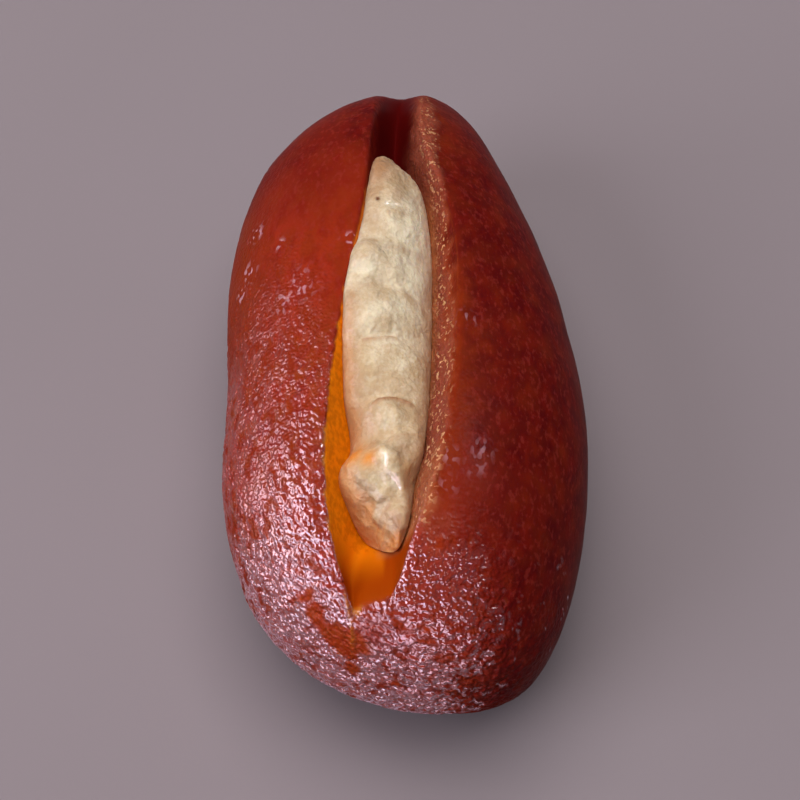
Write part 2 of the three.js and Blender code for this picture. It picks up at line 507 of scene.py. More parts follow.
class Nodes:
    """Builds one material's node tree."""

    def __init__(self, name: str) -> None:
        """Start a material with its output, its principled shader and places in millimetres.

        Args:
            name: Name of the material.
        """
        self.material = bpy.data.materials.new(name)
        self.material.use_nodes = True
        self.tree = self.material.node_tree
        self.tree.nodes.clear()
        self.shader = self.add("ShaderNodeBsdfPrincipled", {})
        self.add("ShaderNodeOutputMaterial", {"Surface": self.shader.outputs["BSDF"]})
        metres = self.add("ShaderNodeTexCoord", {}).outputs["Object"]
        scale = {0: metres, "Scale": 1.0 / MM}
        self.place = self.add("ShaderNodeVectorMath", scale, operation="SCALE").outputs[0]

    def add(self, kind: str, inputs: dict[str | int, Feed], **options: str | bool) -> bpy.types.Node:
        """Add a node.

        Args:
            kind: Type of the node.
            inputs: What each of its sockets gets.
            options: Its settings, made before the sockets are fed.

        Returns:
            The node.
        """
        node = self.tree.nodes.new(kind)
        for option, setting in options.items():
            setattr(node, option, setting)
        for socket, value in inputs.items():
            self.feed(node.inputs[socket], value)
        return node

    def feed(self, socket: Output, value: Feed) -> None:
        """Link an output to a socket, or set the socket's own value.

        Args:
            socket: Socket to feed.
            value: Output, number, vector or colour that it gets.
        """
        if isinstance(value, bpy.types.NodeSocket):
            self.tree.links.new(value, socket)
        elif isinstance(value, tuple) and socket.type == "RGBA":
            socket.default_value = (*value, 1.0)
        else:
            socket.default_value = value

    def dress(self, sockets: dict[str, Feed]) -> None:
        """Give the shader's own sockets their values and outputs."""
        for socket, value in sockets.items():
            self.feed(self.shader.inputs[socket], value)

    def mask(self, mask: Mask) -> Output:
        """Read a named value of the mesh."""
        return self.add("ShaderNodeAttribute", {}, attribute_name=mask.value).outputs["Fac"]

    def math(self, operation: Operation, a: Feed, b: Feed, clamp: bool = False) -> Output:
        """Combine two values.

        Args:
            operation: How they are combined.
            a: First value or output.
            b: Second value or output.
            clamp: Whether the result is held between 0 and 1.

        Returns:
            The result's output.
        """
        options = {"operation": operation.value, "use_clamp": clamp}
        return self.add("ShaderNodeMath", {0: a, 1: b}, **options).outputs[0]

    def follow(self, value: Feed, course: Course) -> Output:
        """Ease a value from one range to another.

        Args:
            value: Output to read.
            course: The two ranges.

        Returns:
            The result's output.
        """
        inputs = {"Value": value, "From Min": course.low, "From Max": course.high}
        inputs |= {"To Min": course.first, "To Max": course.last}
        return self.add("ShaderNodeMapRange", inputs, interpolation_type="SMOOTHSTEP").outputs["Result"]

    def noise(self, pattern: Pattern) -> Output:
        """Add a noise pattern as it comes.

        Args:
            pattern: The pattern, whose course isn't used.

        Returns:
            The noise value's output, from 0 to 1.
        """
        offset = tuple(pattern.shift * share for share in SHIFT_WAY)
        inputs = {"Vector": self.place, "Location": offset, "Scale": (1.0, 1.0 / pattern.stretch, 1.0)}
        mapped = self.add("ShaderNodeMapping", inputs).outputs[0]
        inputs = {"Vector": mapped, "Scale": 1.0 / pattern.size, "Detail": pattern.detail}
        return self.add("ShaderNodeTexNoise", inputs).outputs["Fac"]

    def blotches(self, pattern: Pattern) -> Output:
        """Add a noise pattern that is eased along its course."""
        return self.follow(self.noise(pattern), pattern.course)

    def mix(self, share: Feed, a: Feed, b: Feed) -> Output:
        """Mix two colours.

        Args:
            share: Share of the second colour.
            a: First colour.
            b: Second colour.

        Returns:
            The mixed colour's output.
        """
        inputs = {"Factor": share, "A": a, "B": b}
        return self.add("ShaderNodeMix", inputs, data_type="RGBA").outputs["Result"]

    def bump(self, height: Feed, distance: float, below: Output | None = None) -> Output:
        """Turn a height into a bent surface direction.

        Args:
            height: Output with the height, from 0 to 1.
            distance: Height of 1 in millimetres.
            below: Direction that the bump starts from, if any.

        Returns:
            The direction's output.
        """
        inputs = {"Height": height, "Distance": distance * MM}
        if below is not None:
            inputs["Normal"] = below
        return self.add("ShaderNodeBump", inputs).outputs[0]


@dataclass(frozen=True)
class DoughFinish:
    """Wet red-brown skin, amber with painted glow and shade where cut, and tan where the cut is crumbly.
    """

    red: Colour = (0.29, 0.023, 0.008)
    # Darker to the right and at the far end: the skin's deeper colour and painted shade of the side turned
    # from the windows.
    brown: Colour = (0.088, 0.0037, 0.0038)
    mottle: Colour = (0.17, 0.008, 0.004)
    dash: Colour = (0.26, 0.028, 0.022)
    amber: Colour = (0.215, 0.024, 0.004)
    bare: Colour = (0.33, 0.032, 0.003)
    # Pale lilac flecks that paint glints on the wet syrup.
    painted_glint: Colour = (0.66, 0.36, 0.42)
    # Gold: painted highlight along the left lip's thin edge and along the crack.
    gold: Colour = (0.75, 0.33, 0.03)
    # Bright orange cut wall: the dough's own amber and painted glow of light shining through the thin lip.
    wall: Colour = (0.85, 0.23, 0.003)
    # Darker wall: painted shade on the slit's right half and near end, and random mottle.
    wall_shade_and_mottle: Colour = (0.31, 0.042, 0.001)
    # Near-black painted shade in the far gap of the slit.
    gap: Colour = (0.075, 0.002, 0.002)
    # Orange-brown seam along the crevice and wall foot: its own colour, made brighter as painted light
    # where the crevice lies in shadow.
    seam: Colour = (0.52, 0.18, 0.07)
    tan: Colour = (0.27, 0.058, 0.032)
    speck: Colour = (0.66, 0.33, 0.17)
    scatter: Colour = (1.0, 0.2, 0.05)
    bloom: Colour = (0.95, 0.62, 0.78)
    flecks: Pattern = Pattern(1.3, 3.0, 2.0, 1.6, Course(0.40, 0.66, 0.0, 0.5))
    dashes: Pattern = Pattern(0.5, 2.0, 14.0, 1.5, Course(0.50, 0.70, 0.0, 0.4))
    amber_patches: Pattern = Pattern(2.2, 4.0, 23.0, 2.0, Course(0.42, 0.6, 0.0, 0.55))
    painted_glint_grains: Pattern = Pattern(0.55, 0.0, 31.0, 1.4, Course(0.55, 0.68))
    wall_mottle: Pattern = Pattern(0.7, 3.0, 6.0, course=Course(0.35, 0.65, 0.0, 0.35))
    specks: Pattern = Pattern(0.5, 1.0, 9.0, course=Course(0.55, 0.66))
    fine_wrinkles: Pattern = Pattern(0.38, 0.0, 3.0, course=Course(0.25, 0.75))
    fine_crumbs: Pattern = Pattern(0.4, 3.0, 11.0)
    wrinkle_bump: float = 0.10
    crumb_bump: float = 0.4
    roughness: Course = Course(0.0, 1.0, 0.42, 0.65)
    film: Course = Course(0.0, 0.9, 0.02, 1.0)
    film_roughness: Course = Course(0.2, 0.9, 0.30, 0.11)
    film_ior: float = 1.62
    sheen: Course = Course(0.2, 0.9, 0.0, 0.85)
    sheen_roughness: float = 0.45
    specular: float = 0.02
    scatter_share: float = 0.2
    scatter_mm: float = 1.2
    ior: float = 1.42

    def skin_colour(self, nodes: Nodes) -> Output:
        """Mix the skin: red to brown and mottled, with amber and bare places and painted glints.

        Args:
            nodes: The material's nodes.

        Returns:
            The colour's output.
        """
        brown = nodes.mask(Mask.BROWN)
        skin = nodes.mix(brown, self.red, self.brown)
        skin = nodes.mix(nodes.blotches(self.flecks), skin, self.mottle)
        skin = nodes.mix(nodes.blotches(self.dashes), skin, self.dash)
        still_red = nodes.math(Operation.SUBTRACT, 1.0, brown, clamp=True)
        patches = nodes.math(Operation.MULTIPLY, nodes.blotches(self.amber_patches), still_red)
        amber = nodes.math(Operation.MAXIMUM, patches, nodes.mask(Mask.AMBER))
        skin = nodes.mix(amber, skin, self.amber)
        skin = nodes.mix(nodes.mask(Mask.BARE), skin, self.bare)
        # Painted glints: pale flecks where the glinting spots lie.
        painted_glint = nodes.math(Operation.MULTIPLY, nodes.blotches(self.painted_glint_grains), nodes.mask(Mask.PAINTED_GLINT))
        return nodes.mix(painted_glint, skin, self.painted_glint)

    def colour(self, nodes: Nodes) -> Output:
        """Mix the whole colour: skin, cut wall in painted glow and shade, far gap in painted shade,
        crumbs, seam in painted light, specks and edges with a painted highlight.

        Args:
            nodes: The material's nodes.

        Returns:
            The colour's output.
        """
        # Painted shade deeper in the slit, mixed with random mottle.
        shade_and_mottle = nodes.math(Operation.MAXIMUM, nodes.mask(Mask.WALL_SHADE), nodes.blotches(self.wall_mottle))
        wall = nodes.mix(shade_and_mottle, self.wall, self.wall_shade_and_mottle)
        wall = nodes.mix(nodes.mask(Mask.GAP_SHADE), wall, self.gap)
        colour = nodes.mix(nodes.mask(Mask.CUT), self.skin_colour(nodes), wall)
        colour = nodes.mix(nodes.mask(Mask.CRUMB), colour, self.tan)
        colour = nodes.mix(nodes.mask(Mask.SEAM), colour, self.seam)
        specks = nodes.math(Operation.MULTIPLY, nodes.blotches(self.specks), nodes.mask(Mask.SPECK))
        colour = nodes.mix(specks, colour, self.speck)
        # Painted highlight on the lip edge and the crack.
        return nodes.mix(nodes.mask(Mask.GOLD), colour, self.gold)

    def material(self) -> bpy.types.Material:
        """Build the material.

        Returns:
            The dough's material.
        """
        nodes = Nodes("dough_syrup")
        crumb, wet, wrinkle = nodes.mask(Mask.CRUMB), nodes.mask(Mask.WET), nodes.mask(Mask.WRINKLE)
        wrinkles = nodes.math(Operation.MULTIPLY, nodes.blotches(self.fine_wrinkles), wrinkle)
        crumbs = nodes.math(Operation.MULTIPLY, nodes.noise(self.fine_crumbs), crumb)
        normal = nodes.bump(crumbs, self.crumb_bump, nodes.bump(wrinkles, self.wrinkle_bump))
        nodes.dress(
            {
                "Base Color": self.colour(nodes),
                "Normal": normal,
                "Coat Normal": normal,
                "Roughness": nodes.follow(crumb, self.roughness),
                "Coat Weight": nodes.follow(wet, self.film),
                "Coat Roughness": nodes.follow(wet, self.film_roughness),
                "Coat IOR": self.film_ior,
                "Specular IOR Level": self.specular,
                "Sheen Weight": nodes.follow(wet, self.sheen),
                "Sheen Roughness": self.sheen_roughness,
                "Sheen Tint": self.bloom,
                "Subsurface Weight": self.scatter_share,
                "Subsurface Radius": self.scatter,
                "Subsurface Scale": self.scatter_mm * MM,
                "IOR": self.ior,
            }
        )
        return nodes.material


@dataclass(frozen=True)
class CreamFinish:
    """Moist, slightly grainy cream, stained amber where it touches the syrupy wall."""

    cream: Colour = (0.54, 0.385, 0.23)
    # Pale cream: random paler curds, and painted light on lit lumps, on the right half and on glossy
    # crests.
    pale: Colour = (0.84, 0.74, 0.55)
    shade: Colour = (0.33, 0.13, 0.05)
    stain: Colour = (0.72, 0.26, 0.04)
    speck: Colour = (0.12, 0.03, 0.01)
    scatter: Colour = (1.0, 0.7, 0.4)
    clouds: Pattern = Pattern(2.0, 3.0, course=Course(0.3, 0.7, -0.2, 0.2))
    dots: Pattern = Pattern(0.4, 1.0, 8.0, course=Course(0.3, 0.7, -0.12, 0.12))
    curds: Pattern = Pattern(0.5, 2.0, 4.0)
    curd_bump: float = 0.16
    roughness: Pattern = Pattern(1.3, 2.0, 2.0, course=Course(0.4, 0.6, 0.34, 0.5))
    gloss_roughness: float = 0.14
    specular: float = 0.25
    scatter_share: float = 0.35
    scatter_mm: float = 0.8
    ior: float = 1.4

    def colour(self, nodes: Nodes) -> Output:
        """Mix the cream: clouded and dotted, paler where light is painted, with its shades, stains and
        speck.

        Args:
            nodes: The material's nodes.

        Returns:
            The colour's output.
        """
        clouds = nodes.math(Operation.ADD, nodes.blotches(self.clouds), nodes.blotches(self.dots))
        pale = nodes.math(Operation.ADD, nodes.mask(Mask.PALE), clouds, clamp=True)
        body = nodes.mix(pale, self.cream, self.pale)
        body = nodes.mix(nodes.mask(Mask.SHADE), body, self.shade)
        body = nodes.mix(nodes.mask(Mask.STAIN), body, self.stain)
        return nodes.mix(nodes.mask(Mask.SPECK), body, self.speck)

    def material(self) -> bpy.types.Material:
        """Build the material.

        Returns:
            The filling's material.
        """
        nodes = Nodes("cream_filling")
        nodes.dress(
            {
                "Base Color": self.colour(nodes),
                "Normal": nodes.bump(nodes.noise(self.curds), self.curd_bump),
                "Roughness": nodes.blotches(self.roughness),
                "Coat Weight": nodes.mask(Mask.WET),
                "Coat Roughness": self.gloss_roughness,
                "Specular IOR Level": self.specular,
                "Subsurface Weight": self.scatter_share,
                "Subsurface Radius": self.scatter,
                "Subsurface Scale": self.scatter_mm * MM,
                "IOR": self.ior,
            }
        )
        return nodes.material


@dataclass(frozen=True)
class Spot:
    """Round place on a piece's skin."""

    x: float
    y: float
    z: float
    radius: float
    strength: float = 1.0

    def near(self, places: np.ndarray) -> np.ndarray:
        """Closeness to the spot's centre: its strength there and 0 well outside it."""
        reach = ((places - np.array([self.x, self.y, self.z])) ** 2).sum(axis=-1) / self.radius**2
        return self.strength * np.exp(-reach)


def nearest(spots: tuple[Spot, ...], places: np.ndarray) -> np.ndarray:
    """Closeness of the places to whichever spot lies nearest."""
    return np.max([spot.near(places) for spot in spots], axis=0)


@dataclass(frozen=True)
class LipBand:
    """Crumbly strip along the right lip, by the x of its two edges."""

    left: Line = Line(
        ((30, 4.2), (22, 3.3), (13, 4.1), (3, 3.6), (-8.5, 2.2), (-18.7, 0.2), (-25, -1.0))
    )
    right: Line = Line(
        ((30, 5.7), (17, 5.3), (9, 5.3), (0, 5.0), (-10, 4.1), (-16, 3.1), (-20, 2.0), (-26, 0.5))
    )


@dataclass(frozen=True)
class Crack:
    """Thin crack that runs on from the slit's near corner."""

    path: Line = Line(((-31.0, -7.75), (-32.0, -7.5), (-33.0, -7.3), (-34.0, -7.15), (-35.5, -7.4)))
    width: float = 0.13
    depth: float = 0.25
    pressed: Window = Window(-36.0, -34.0, -32.0, -30.5)
    bright: Window = Window(-35.5, -33.5, -31.5, -30.0, 0.25)

    def near(self, x: np.ndarray, y: np.ndarray) -> np.ndarray:
        """Closeness to the crack, 1 along it and 0 well away from it."""
        return bell(x - self.path.at(y), self.width)


@dataclass(frozen=True)
class CutPaint:
    """Where the slit's wall, far gap, crumbs, seam and bright edges lie.

    The gap is the dark far part of the slit, painted shade, and the notch is its open end. The seam is
    made brighter where the crevice lies in shadow, painted light. The band is the crumbly strip, which
    starts at its left edge and ends at its right one. A rag makes an edge uneven.
    """

    slit: SlitShape
    band: LipBand
    crack: Crack
    rag: Grain = Grain(1.1, 15.0, 0.25)
    cut_depth: Ramp = Ramp(0.25, 0.55)
    gap: Ramp = Ramp(12.0, 18.0)
    notch: Ramp = Ramp(22.0, 32.0)
    gap_shallows: Ramp = Ramp(3.0, 1.5)
    notch_shallows: Ramp = Ramp(1.5, 0.3)
    right_side: Ramp = Ramp(0.0, 0.3)
    right_start: Ramp = Ramp(-27.0, -25.0)
    left_side: Ramp = Ramp(0.2, -0.2)
    left_start: Ramp = Ramp(-1.0, 2.0)
    band_length: Window = Window(-27.0, -24.0, 30.0, 36.0)
    band_rag: Grain = Grain(1.6, 18.0, 0.9)
    band_end: Ramp = Ramp(-0.7, 0.7)
    band_start: Ramp = Ramp(-0.9, 0.3)
    gap_band_start: Ramp = Ramp(-1.9, 0.3)
    notch_share: float = 0.8
    band_start_rag: float = 2.0
    crest_y: float = 14.0
    crest_z: float = 20.0
    speck_places: Grain = Grain(1.7, 19.0)
    speck_cover: Ramp = Ramp(-0.4, 0.2)
    speck_loss: Ramp = Ramp(9.0, 17.0, 0.3)
    speck_shift: float = 0.2
    speck_power: int = 4
    speck_z: float = 24.0
    # Seam colour in the crevice, brightened as painted light where the crevice lies in shadow.
    crevice: Ramp = Ramp(0.7, -0.1, 0.8)
    left_seam: float = 0.2
    low_seam: Ramp = Ramp(-16.0, -20.0, 0.35)
    # Painted shade on the wall toward the near end and the slit's right half.
    wall_shade_near_end: Ramp = Ramp(-23.0, -30.0)
    wall_shade_right: Ramp = Ramp(0.0, 0.4)
    edge_depth: float = 0.35
    edge_width: float = 0.22
    edge_highlight: Ramp = Ramp(2.0, -6.0, 0.35)
    edge_places: Grain = Grain(1.3, 17.0)
    edge_cover: Ramp = Ramp(0.0, 0.25)

    def paint(self, grid: Grid, depth: np.ndarray) -> None:
        """Set the masks of the cut faces.

        Args:
            grid: The skin.
            depth: Depth of the slit at each of its points.
        """
        x, y, z = np.moveaxis(grid.rings, -1, 0)
        rag = self.rag.at(grid.rings)
        across = self.slit.across(x, y)
        inside = self.cut_depth.at(depth + rag)
        far, end = self.gap.at(y), self.notch.at(y)
        band_left, band_right = self.band.left.at(y), self.band.right.at(y)
        right_wall = inside * self.right_side.at(across) * self.right_start.at(y)
        left_wall = inside * self.left_side.at(across) * self.left_start.at(y + rag)
        beyond = self.band_end.at(x - band_right + self.band_rag.at(grid.rings))
        shallow = far * self.gap_shallows.toward(self.notch_shallows, end).at(depth)
        start = self.band_start.toward(self.gap_band_start, far * (1.0 - self.notch_share * end))
        crumbly = start.at(x - band_left + self.band_start_rag * rag) * (1.0 - beyond)
        crumbly *= self.band_length.at(y)
        on_crest = (y > self.crest_y) & (z > self.crest_z)
        seams = (
            right_wall * self.crevice.at(x - band_left) * (1.0 - far),
            self.left_seam * left_wall * (1.0 - far),
            crumbly * self.low_seam.at(y),
        )
        grid.masks[Mask.CUT] = inside * (1.0 - shallow) * (1.0 - right_wall * beyond)
        grid.masks[Mask.CRUMB] = crumbly * ((depth > 0.0) | on_crest)
        grid.masks[Mask.SPECK] = self.specks(grid)
        # Seam: its own colour, and painted light in the shaded crevice.
        grid.masks[Mask.SEAM] = np.max(seams, axis=0)
        # Painted shade in the far gap.
        grid.masks[Mask.GAP_SHADE] = far
        # Painted shade on the slit's right half and near end.
        grid.masks[Mask.WALL_SHADE] = np.maximum(self.wall_shade_near_end.at(y), self.wall_shade_right.at(across))
        grid.masks[Mask.GOLD] = np.clip(self.bright(grid, depth), 0.0, 1.0)

    def specks(self, grid: Grid) -> np.ndarray:
        """Scatter pale specks along the middle of the crumbly strip.

        Args:
            grid: The skin.

        Returns:
            Share of specks at each point.
        """
        x, y, z = np.moveaxis(grid.rings, -1, 0)
        band_left, band_right = self.band.left.at(y), self.band.right.at(y)
        off_middle = x - (band_left + band_right) / 2 - self.speck_shift
        inside = np.exp(-((2.0 * off_middle / (band_right - band_left)) ** self.speck_power))
        cover = self.speck_cover.at(self.speck_places.at(grid.rings)) * (1.0 - self.speck_loss.at(y))
        return inside * cover * self.band_length.at(y) * (z > self.speck_z)

    def bright(self, grid: Grid, depth: np.ndarray) -> np.ndarray:
        """Light up the thin edge of the left lip and the crack.

        Args:
            grid: The skin.
            depth: Depth of the slit at each of its points.

        Returns:
            Share of gold at each point.
        """
        x, y, _ = np.moveaxis(grid.rings, -1, 0)
        edge = bell(depth - self.edge_depth, self.edge_width) * (self.slit.across(x, y) < 0)
        edge *= self.edge_highlight.at(y) * self.edge_cover.at(self.edge_places.at(grid.rings))
        return edge + self.crack.near(x, y) * self.crack.bright.at(y)


@dataclass(frozen=True)
class SkinPaint:
    """Where the skin is wrinkled, wet, darker, amber or bare, and where glints are painted.

    Syrup lies as a film on the left flank and in drops on the near end, with dry pockets between strokes.
    The glow is the amber that follows the crumbly strip. A rag makes an edge uneven.
    """

    band: LipBand
    patches: Grain = Grain(3.2, 3.3)
    flank_x: float = -11.0
    flank_y: float = 8.0
    flank_lean: float = 2.6
    flank_most: float = 5.0
    flank_rag: float = 4.0
    flank_end: Ramp = Ramp(5.0, -9.0)
    flank_side: Ramp = Ramp(3.0, -3.0)
    crown_offset: float = 13.0
    crown: Ramp = Ramp(-28.0, -11.0, 0.6)
    near_end: Ramp = Ramp(-24.0, -30.0)
    near_rag: float = 2.0
    near_side: Ramp = Ramp(12.0, 3.0)
    near_side_rag: float = 3.0
    rough_base: float = 0.26
    rough_patches: float = 0.15
    rough_wet: float = 0.85
    rough_spread: float = 0.5
    smooth_patches: tuple[Patch, ...] = (
        Patch(0.2, x=Window(-14.0, -10.0, -3.0, 3.0), y=Ramp(5.0, 15.0)),
        Patch(0.2, x=Ramp(2.0, 9.0), y=Ramp(-34.0, -28.0)),
    )
    glint_spot_relief: float = 0.7
    bare_smoothing: float = 0.3
    above_rest: Ramp = Ramp(0.5, 4.0)
    drift: Drift = Drift(1.3, (33.0, 37.0, 45.0))
    bend: float = 1.1
    glint_spot_bend: float = 0.6
    strokes: Grain = Grain(1.2, 27.0)
    stroke_squeeze: tuple[float, float, float] = (1.0, 0.45, 1.0)
    stroke_gain: Ramp = Ramp(-22.0, -28.0, 0.1)
    drop_side: Ramp = Ramp(12.0, -1.0)
    drop_side_rag: float = 2.0
    drop_loss: Patch = Patch(0.2, x=Ramp(-3.0, 1.0), y=Ramp(-34.5, -37.5))
    drops: Grain = Grain(0.8, 47.0, 1.7)
    drop_weight: float = 2.0
    drop_cover: Ramp = Ramp(0.8, 1.2)
    pocket: Ramp = Ramp(-0.12, -0.36)
    pocket_film: Ramp = Ramp(0.0, 0.5)
    pocket_loss: float = 0.85
    pocket_amber: float = 0.5
    bare_core: Ramp = Ramp(0.08, 0.6)
    bare_base: float = 0.75
    bare_mottle: Grain = Grain(0.9, 11.0, 0.6)
    dry_loss: float = 0.95
    # Darker to the right and at the far end, partly painted shade.
    right_darkening: Ramp = Ramp(-4.0, 7.0)
    right_darkening_lean: float = 0.10
    darker_patches: tuple[Patch, ...] = (
        Patch(0.8, y=Ramp(6.0, 26.0)),
        Patch(0.15, x=Ramp(-2.0, 6.0), y=Ramp(-24.0, -34.0)),
    )
    darker_mottle: Grain = Grain(6.0, 5.0, 0.25)
    amber_base: float = 0.08
    amber_mottle: Grain = Grain(1.8, 8.0, 0.3)
    glow_start: Ramp = Ramp(-1.5, 0.0)
    glow_end: Ramp = Ramp(3.4, 0.2)
    glow_rag: Grain = Grain(1.2, 10.0, 0.3)
    glow: Ramp = Ramp(-27.0, -22.0, 0.55)
    glow_loss: Ramp = Ramp(0.0, 10.0, 0.75)
    limb: Patch = Patch(0.6, x=Ramp(-13.0, -17.0), y=Window(-14.0, 6.0, 16.0, 26.0), z=Ramp(8.0, 15.0))
    spot_base: float = 0.7
    spot_mottle: Grain = Grain(1.2, 9.0, 0.5)
    streak: tuple[Spot, ...] = (
        Spot(-12.0, -27.3, 25.9, 0.7, 0.5),
        Spot(-11.8, -30.0, 23.8, 1.0, 0.8),
        Spot(-11.0, -31.1, 23.3, 1.1),
        Spot(-10.1, -32.2, 22.8, 1.2),
        Spot(-9.2, -33.3, 22.1, 1.4),
        Spot(-8.0, -34.1, 21.9, 1.7),
        Spot(-7.2, -34.2, 22.4, 1.8),
        Spot(-7.3, -35.5, 19.2, 1.2),
        Spot(-1.9, -34.2, 25.6, 0.9, 0.5),
        Spot(0.1, -34.5, 25.7, 0.7, 0.6),
        Spot(-3.1, -37.2, 18.9, 0.9, 0.7),
        Spot(1.6, -28.1, 29.8, 1.1, 0.3),
        Spot(-18.3, 8.4, 21.2, 1.1, 0.5),
        Spot(-17.6, 1.6, 23.2, 1.1, 0.4),
        Spot(-16.5, -5.2, 25.6, 1.0, 0.3),
    )
    dry_spots: tuple[Spot, ...] = (
        Spot(-5.3, -34.2, 24.0, 2.2, 0.8),
        Spot(-12.0, -33.0, 18.5, 1.6, 0.5),
        Spot(-17.0, 1.6, 24.2, 1.6, 0.6),
        Spot(-16.6, -5.2, 25.0, 1.6, 0.6),
    )
    amber_spots: tuple[Spot, ...] = (
        Spot(1.8, -25.6, 31.0, 1.5),
        Spot(1.7, -22.8, 31.5, 1.5),
        Spot(2.2, -18.6, 31.5, 1.8),
        Spot(4.2, -13.5, 31.5, 2.6),
        Spot(6.5, -6.0, 30.8, 2.6, 0.7),
        Spot(5.8, -10.5, 31.6, 2.2, 0.7),
        Spot(-16.2, 6.0, 25.0, 2.5),
        Spot(-16.4, 2.0, 24.0, 2.0),
        Spot(7.2, 23.0, 29.0, 2.6, 0.7),
        Spot(6.8, 28.0, 27.6, 2.4, 0.7),
    )
    # Spots where glints are painted as pale lilac flecks, with extra wrinkles under them.
    glinting_spots: tuple[Spot, ...] = (
        Spot(6.5, -18.3, 31.5, 1.0, 0.35),
        Spot(5.8, -20.0, 31.5, 1.0, 0.25),
        Spot(3.2, -18.8, 31.9, 0.9, 0.35),
        Spot(2.6, -22.0, 31.4, 0.8, 0.3),
        Spot(6.2, -3.0, 32.0, 0.8, 0.4),
        Spot(-15.3, 14.2, 25.5, 1.0, 0.9),
        Spot(-16.2, 9.0, 25.2, 1.1),
        Spot(-17.3, 7.1, 23.6, 1.0, 0.8),
        Spot(-12.7, 10.2, 28.8, 0.6, 0.8),
        Spot(-10.7, 3.2, 30.5, 1.5, 0.55),
        Spot(-12.4, 2.3, 29.4, 1.4, 0.45),
        Spot(-5.0, 7.9, 32.0, 0.7, 0.9),
    )

    def flank(self, grid: Grid, patchy: np.ndarray) -> np.ndarray:
        """Find where syrup lies on the left flank.

        Args:
            grid: The skin.
            patchy: Slow unevenness of its edges.

        Returns:
            Share of wet skin at each point.
        """
        x, y, _ = np.moveaxis(grid.rings, -1, 0)
        reach = np.minimum(self.flank_y - self.flank_lean * (x - self.flank_x), self.flank_most)
        wet = self.flank_end.at(y - reach - self.flank_rag * patchy) * self.flank_side.at(x)
        return wet * (1.0 - self.crown.at(y - x - self.crown_offset))

    def near_drops(self, grid: Grid, patchy: np.ndarray, bent: np.ndarray) -> np.ndarray:
        """Find where drops of syrup lie on the near end.

        Args:
            grid: The skin.
            patchy: Slow unevenness of their edge.
            bent: Places of its points, bent so that the drops wander.

        Returns:
            Share of wet skin at each point.
        """
        x, y, _ = np.moveaxis(grid.rings, -1, 0)
        chance = self.drop_side.at(x + self.drop_side_rag * patchy) - self.drop_loss.at(grid.rings)
        drops = self.drop_cover.at(self.drop_weight * chance + self.drops.at(bent))
        return self.near_end.at(y + self.near_rag * patchy) * drops

    def paint(self, grid: Grid) -> None:
        """Set the masks of the skin.

        Args:
            grid: The skin, whose cut faces are already marked.
        """
        x, y, z = np.moveaxis(grid.rings, -1, 0)
        skin = 1.0 - grid.masks[Mask.CUT]
        patchy = self.patches.at(grid.rings)
        drift = self.drift.at(grid.rings)
        bent = grid.rings + self.bend * drift
        flank = self.flank(grid, patchy)
        film = np.maximum(flank, self.near_drops(grid, patchy, bent))
        strokes = self.strokes.at(bent * np.array(self.stroke_squeeze)) + self.stroke_gain.at(y)
        pocket = self.pocket.at(strokes) * self.pocket_film.at(film)
        bare = self.bare_core.at(nearest(self.streak, bent))
        dry = np.maximum(bare, nearest(self.dry_spots, bent))
        # Painted glints at the glinting spots.
        painted_glint = nearest(self.glinting_spots, grid.rings + self.glint_spot_bend * drift)
        near = self.near_end.at(y + self.near_rag * patchy)
        near *= self.near_side.at(x + self.near_side_rag * patchy)
        rough = self.rough_base + self.rough_patches * patchy
        rough += self.rough_wet * np.maximum(flank**self.rough_spread, near)
        rough -= sum(patch.at(grid.rings) for patch in self.smooth_patches)
        rough = np.maximum(rough * (1.0 - self.bare_smoothing * bare), self.glint_spot_relief * painted_glint)
        wet = film * (1.0 - self.pocket_loss * pocket) * (1.0 - self.dry_loss * dry)
        bare *= self.bare_base + self.bare_mottle.at(bent)
        grid.masks[Mask.WRINKLE] = np.clip(rough, 0.0, 1.0) * skin * self.above_rest.at(z)
        grid.masks[Mask.WET] = np.clip(wet, 0.0, 1.0) * skin
        grid.masks[Mask.BROWN] = np.clip(self.darker_share(grid), 0.0, 1.0)
        amber = np.maximum(self.amber(grid, bent), self.pocket_amber * pocket)
        grid.masks[Mask.AMBER] = np.clip(amber, 0.0, 1.0)
        grid.masks[Mask.BARE] = np.clip(bare, 0.0, 1.0)
        grid.masks[Mask.PAINTED_GLINT] = np.clip(painted_glint, 0.0, 1.0)

    def darker_share(self, grid: Grid) -> np.ndarray:
        """Work out how dark the skin is, more to the right and at the far end: its deeper colour and
        painted shade of the side turned from the windows.

        Args:
            grid: The skin.

        Returns:
            Share of brown at each point, which may pass 1.
        """
        x, y, _ = np.moveaxis(grid.rings, -1, 0)
        darker_share = self.right_darkening.at(x + self.right_darkening_lean * y)
        darker_share += sum(patch.at(grid.rings) for patch in self.darker_patches)
        return darker_share + self.darker_mottle.at(grid.rings)

    def amber(self, grid: Grid, bent: np.ndarray) -> np.ndarray:
        """Work out how amber the skin is: along the crumbly strip, on the left limb and at spots.

        Args:
            grid: The skin.
            bent: Places of its points, bent so that the spots have uneven edges.

        Returns:
            Share of amber at each point, which may pass 1.
        """
        x, y, _ = np.moveaxis(grid.rings, -1, 0)
        past_band = x - self.band.right.at(y)
        glow = self.glow_start.at(past_band) * self.glow_end.at(past_band + self.glow_rag.at(grid.rings))
        glow *= self.glow.at(y) * (1.0 - self.glow_loss.at(y))
        amber = self.amber_base + self.amber_mottle.at(grid.rings) + glow + self.limb.at(grid.rings)
        mottle = self.spot_base + self.spot_mottle.at(grid.rings)
        return np.maximum(amber, nearest(self.amber_spots, bent) * mottle)


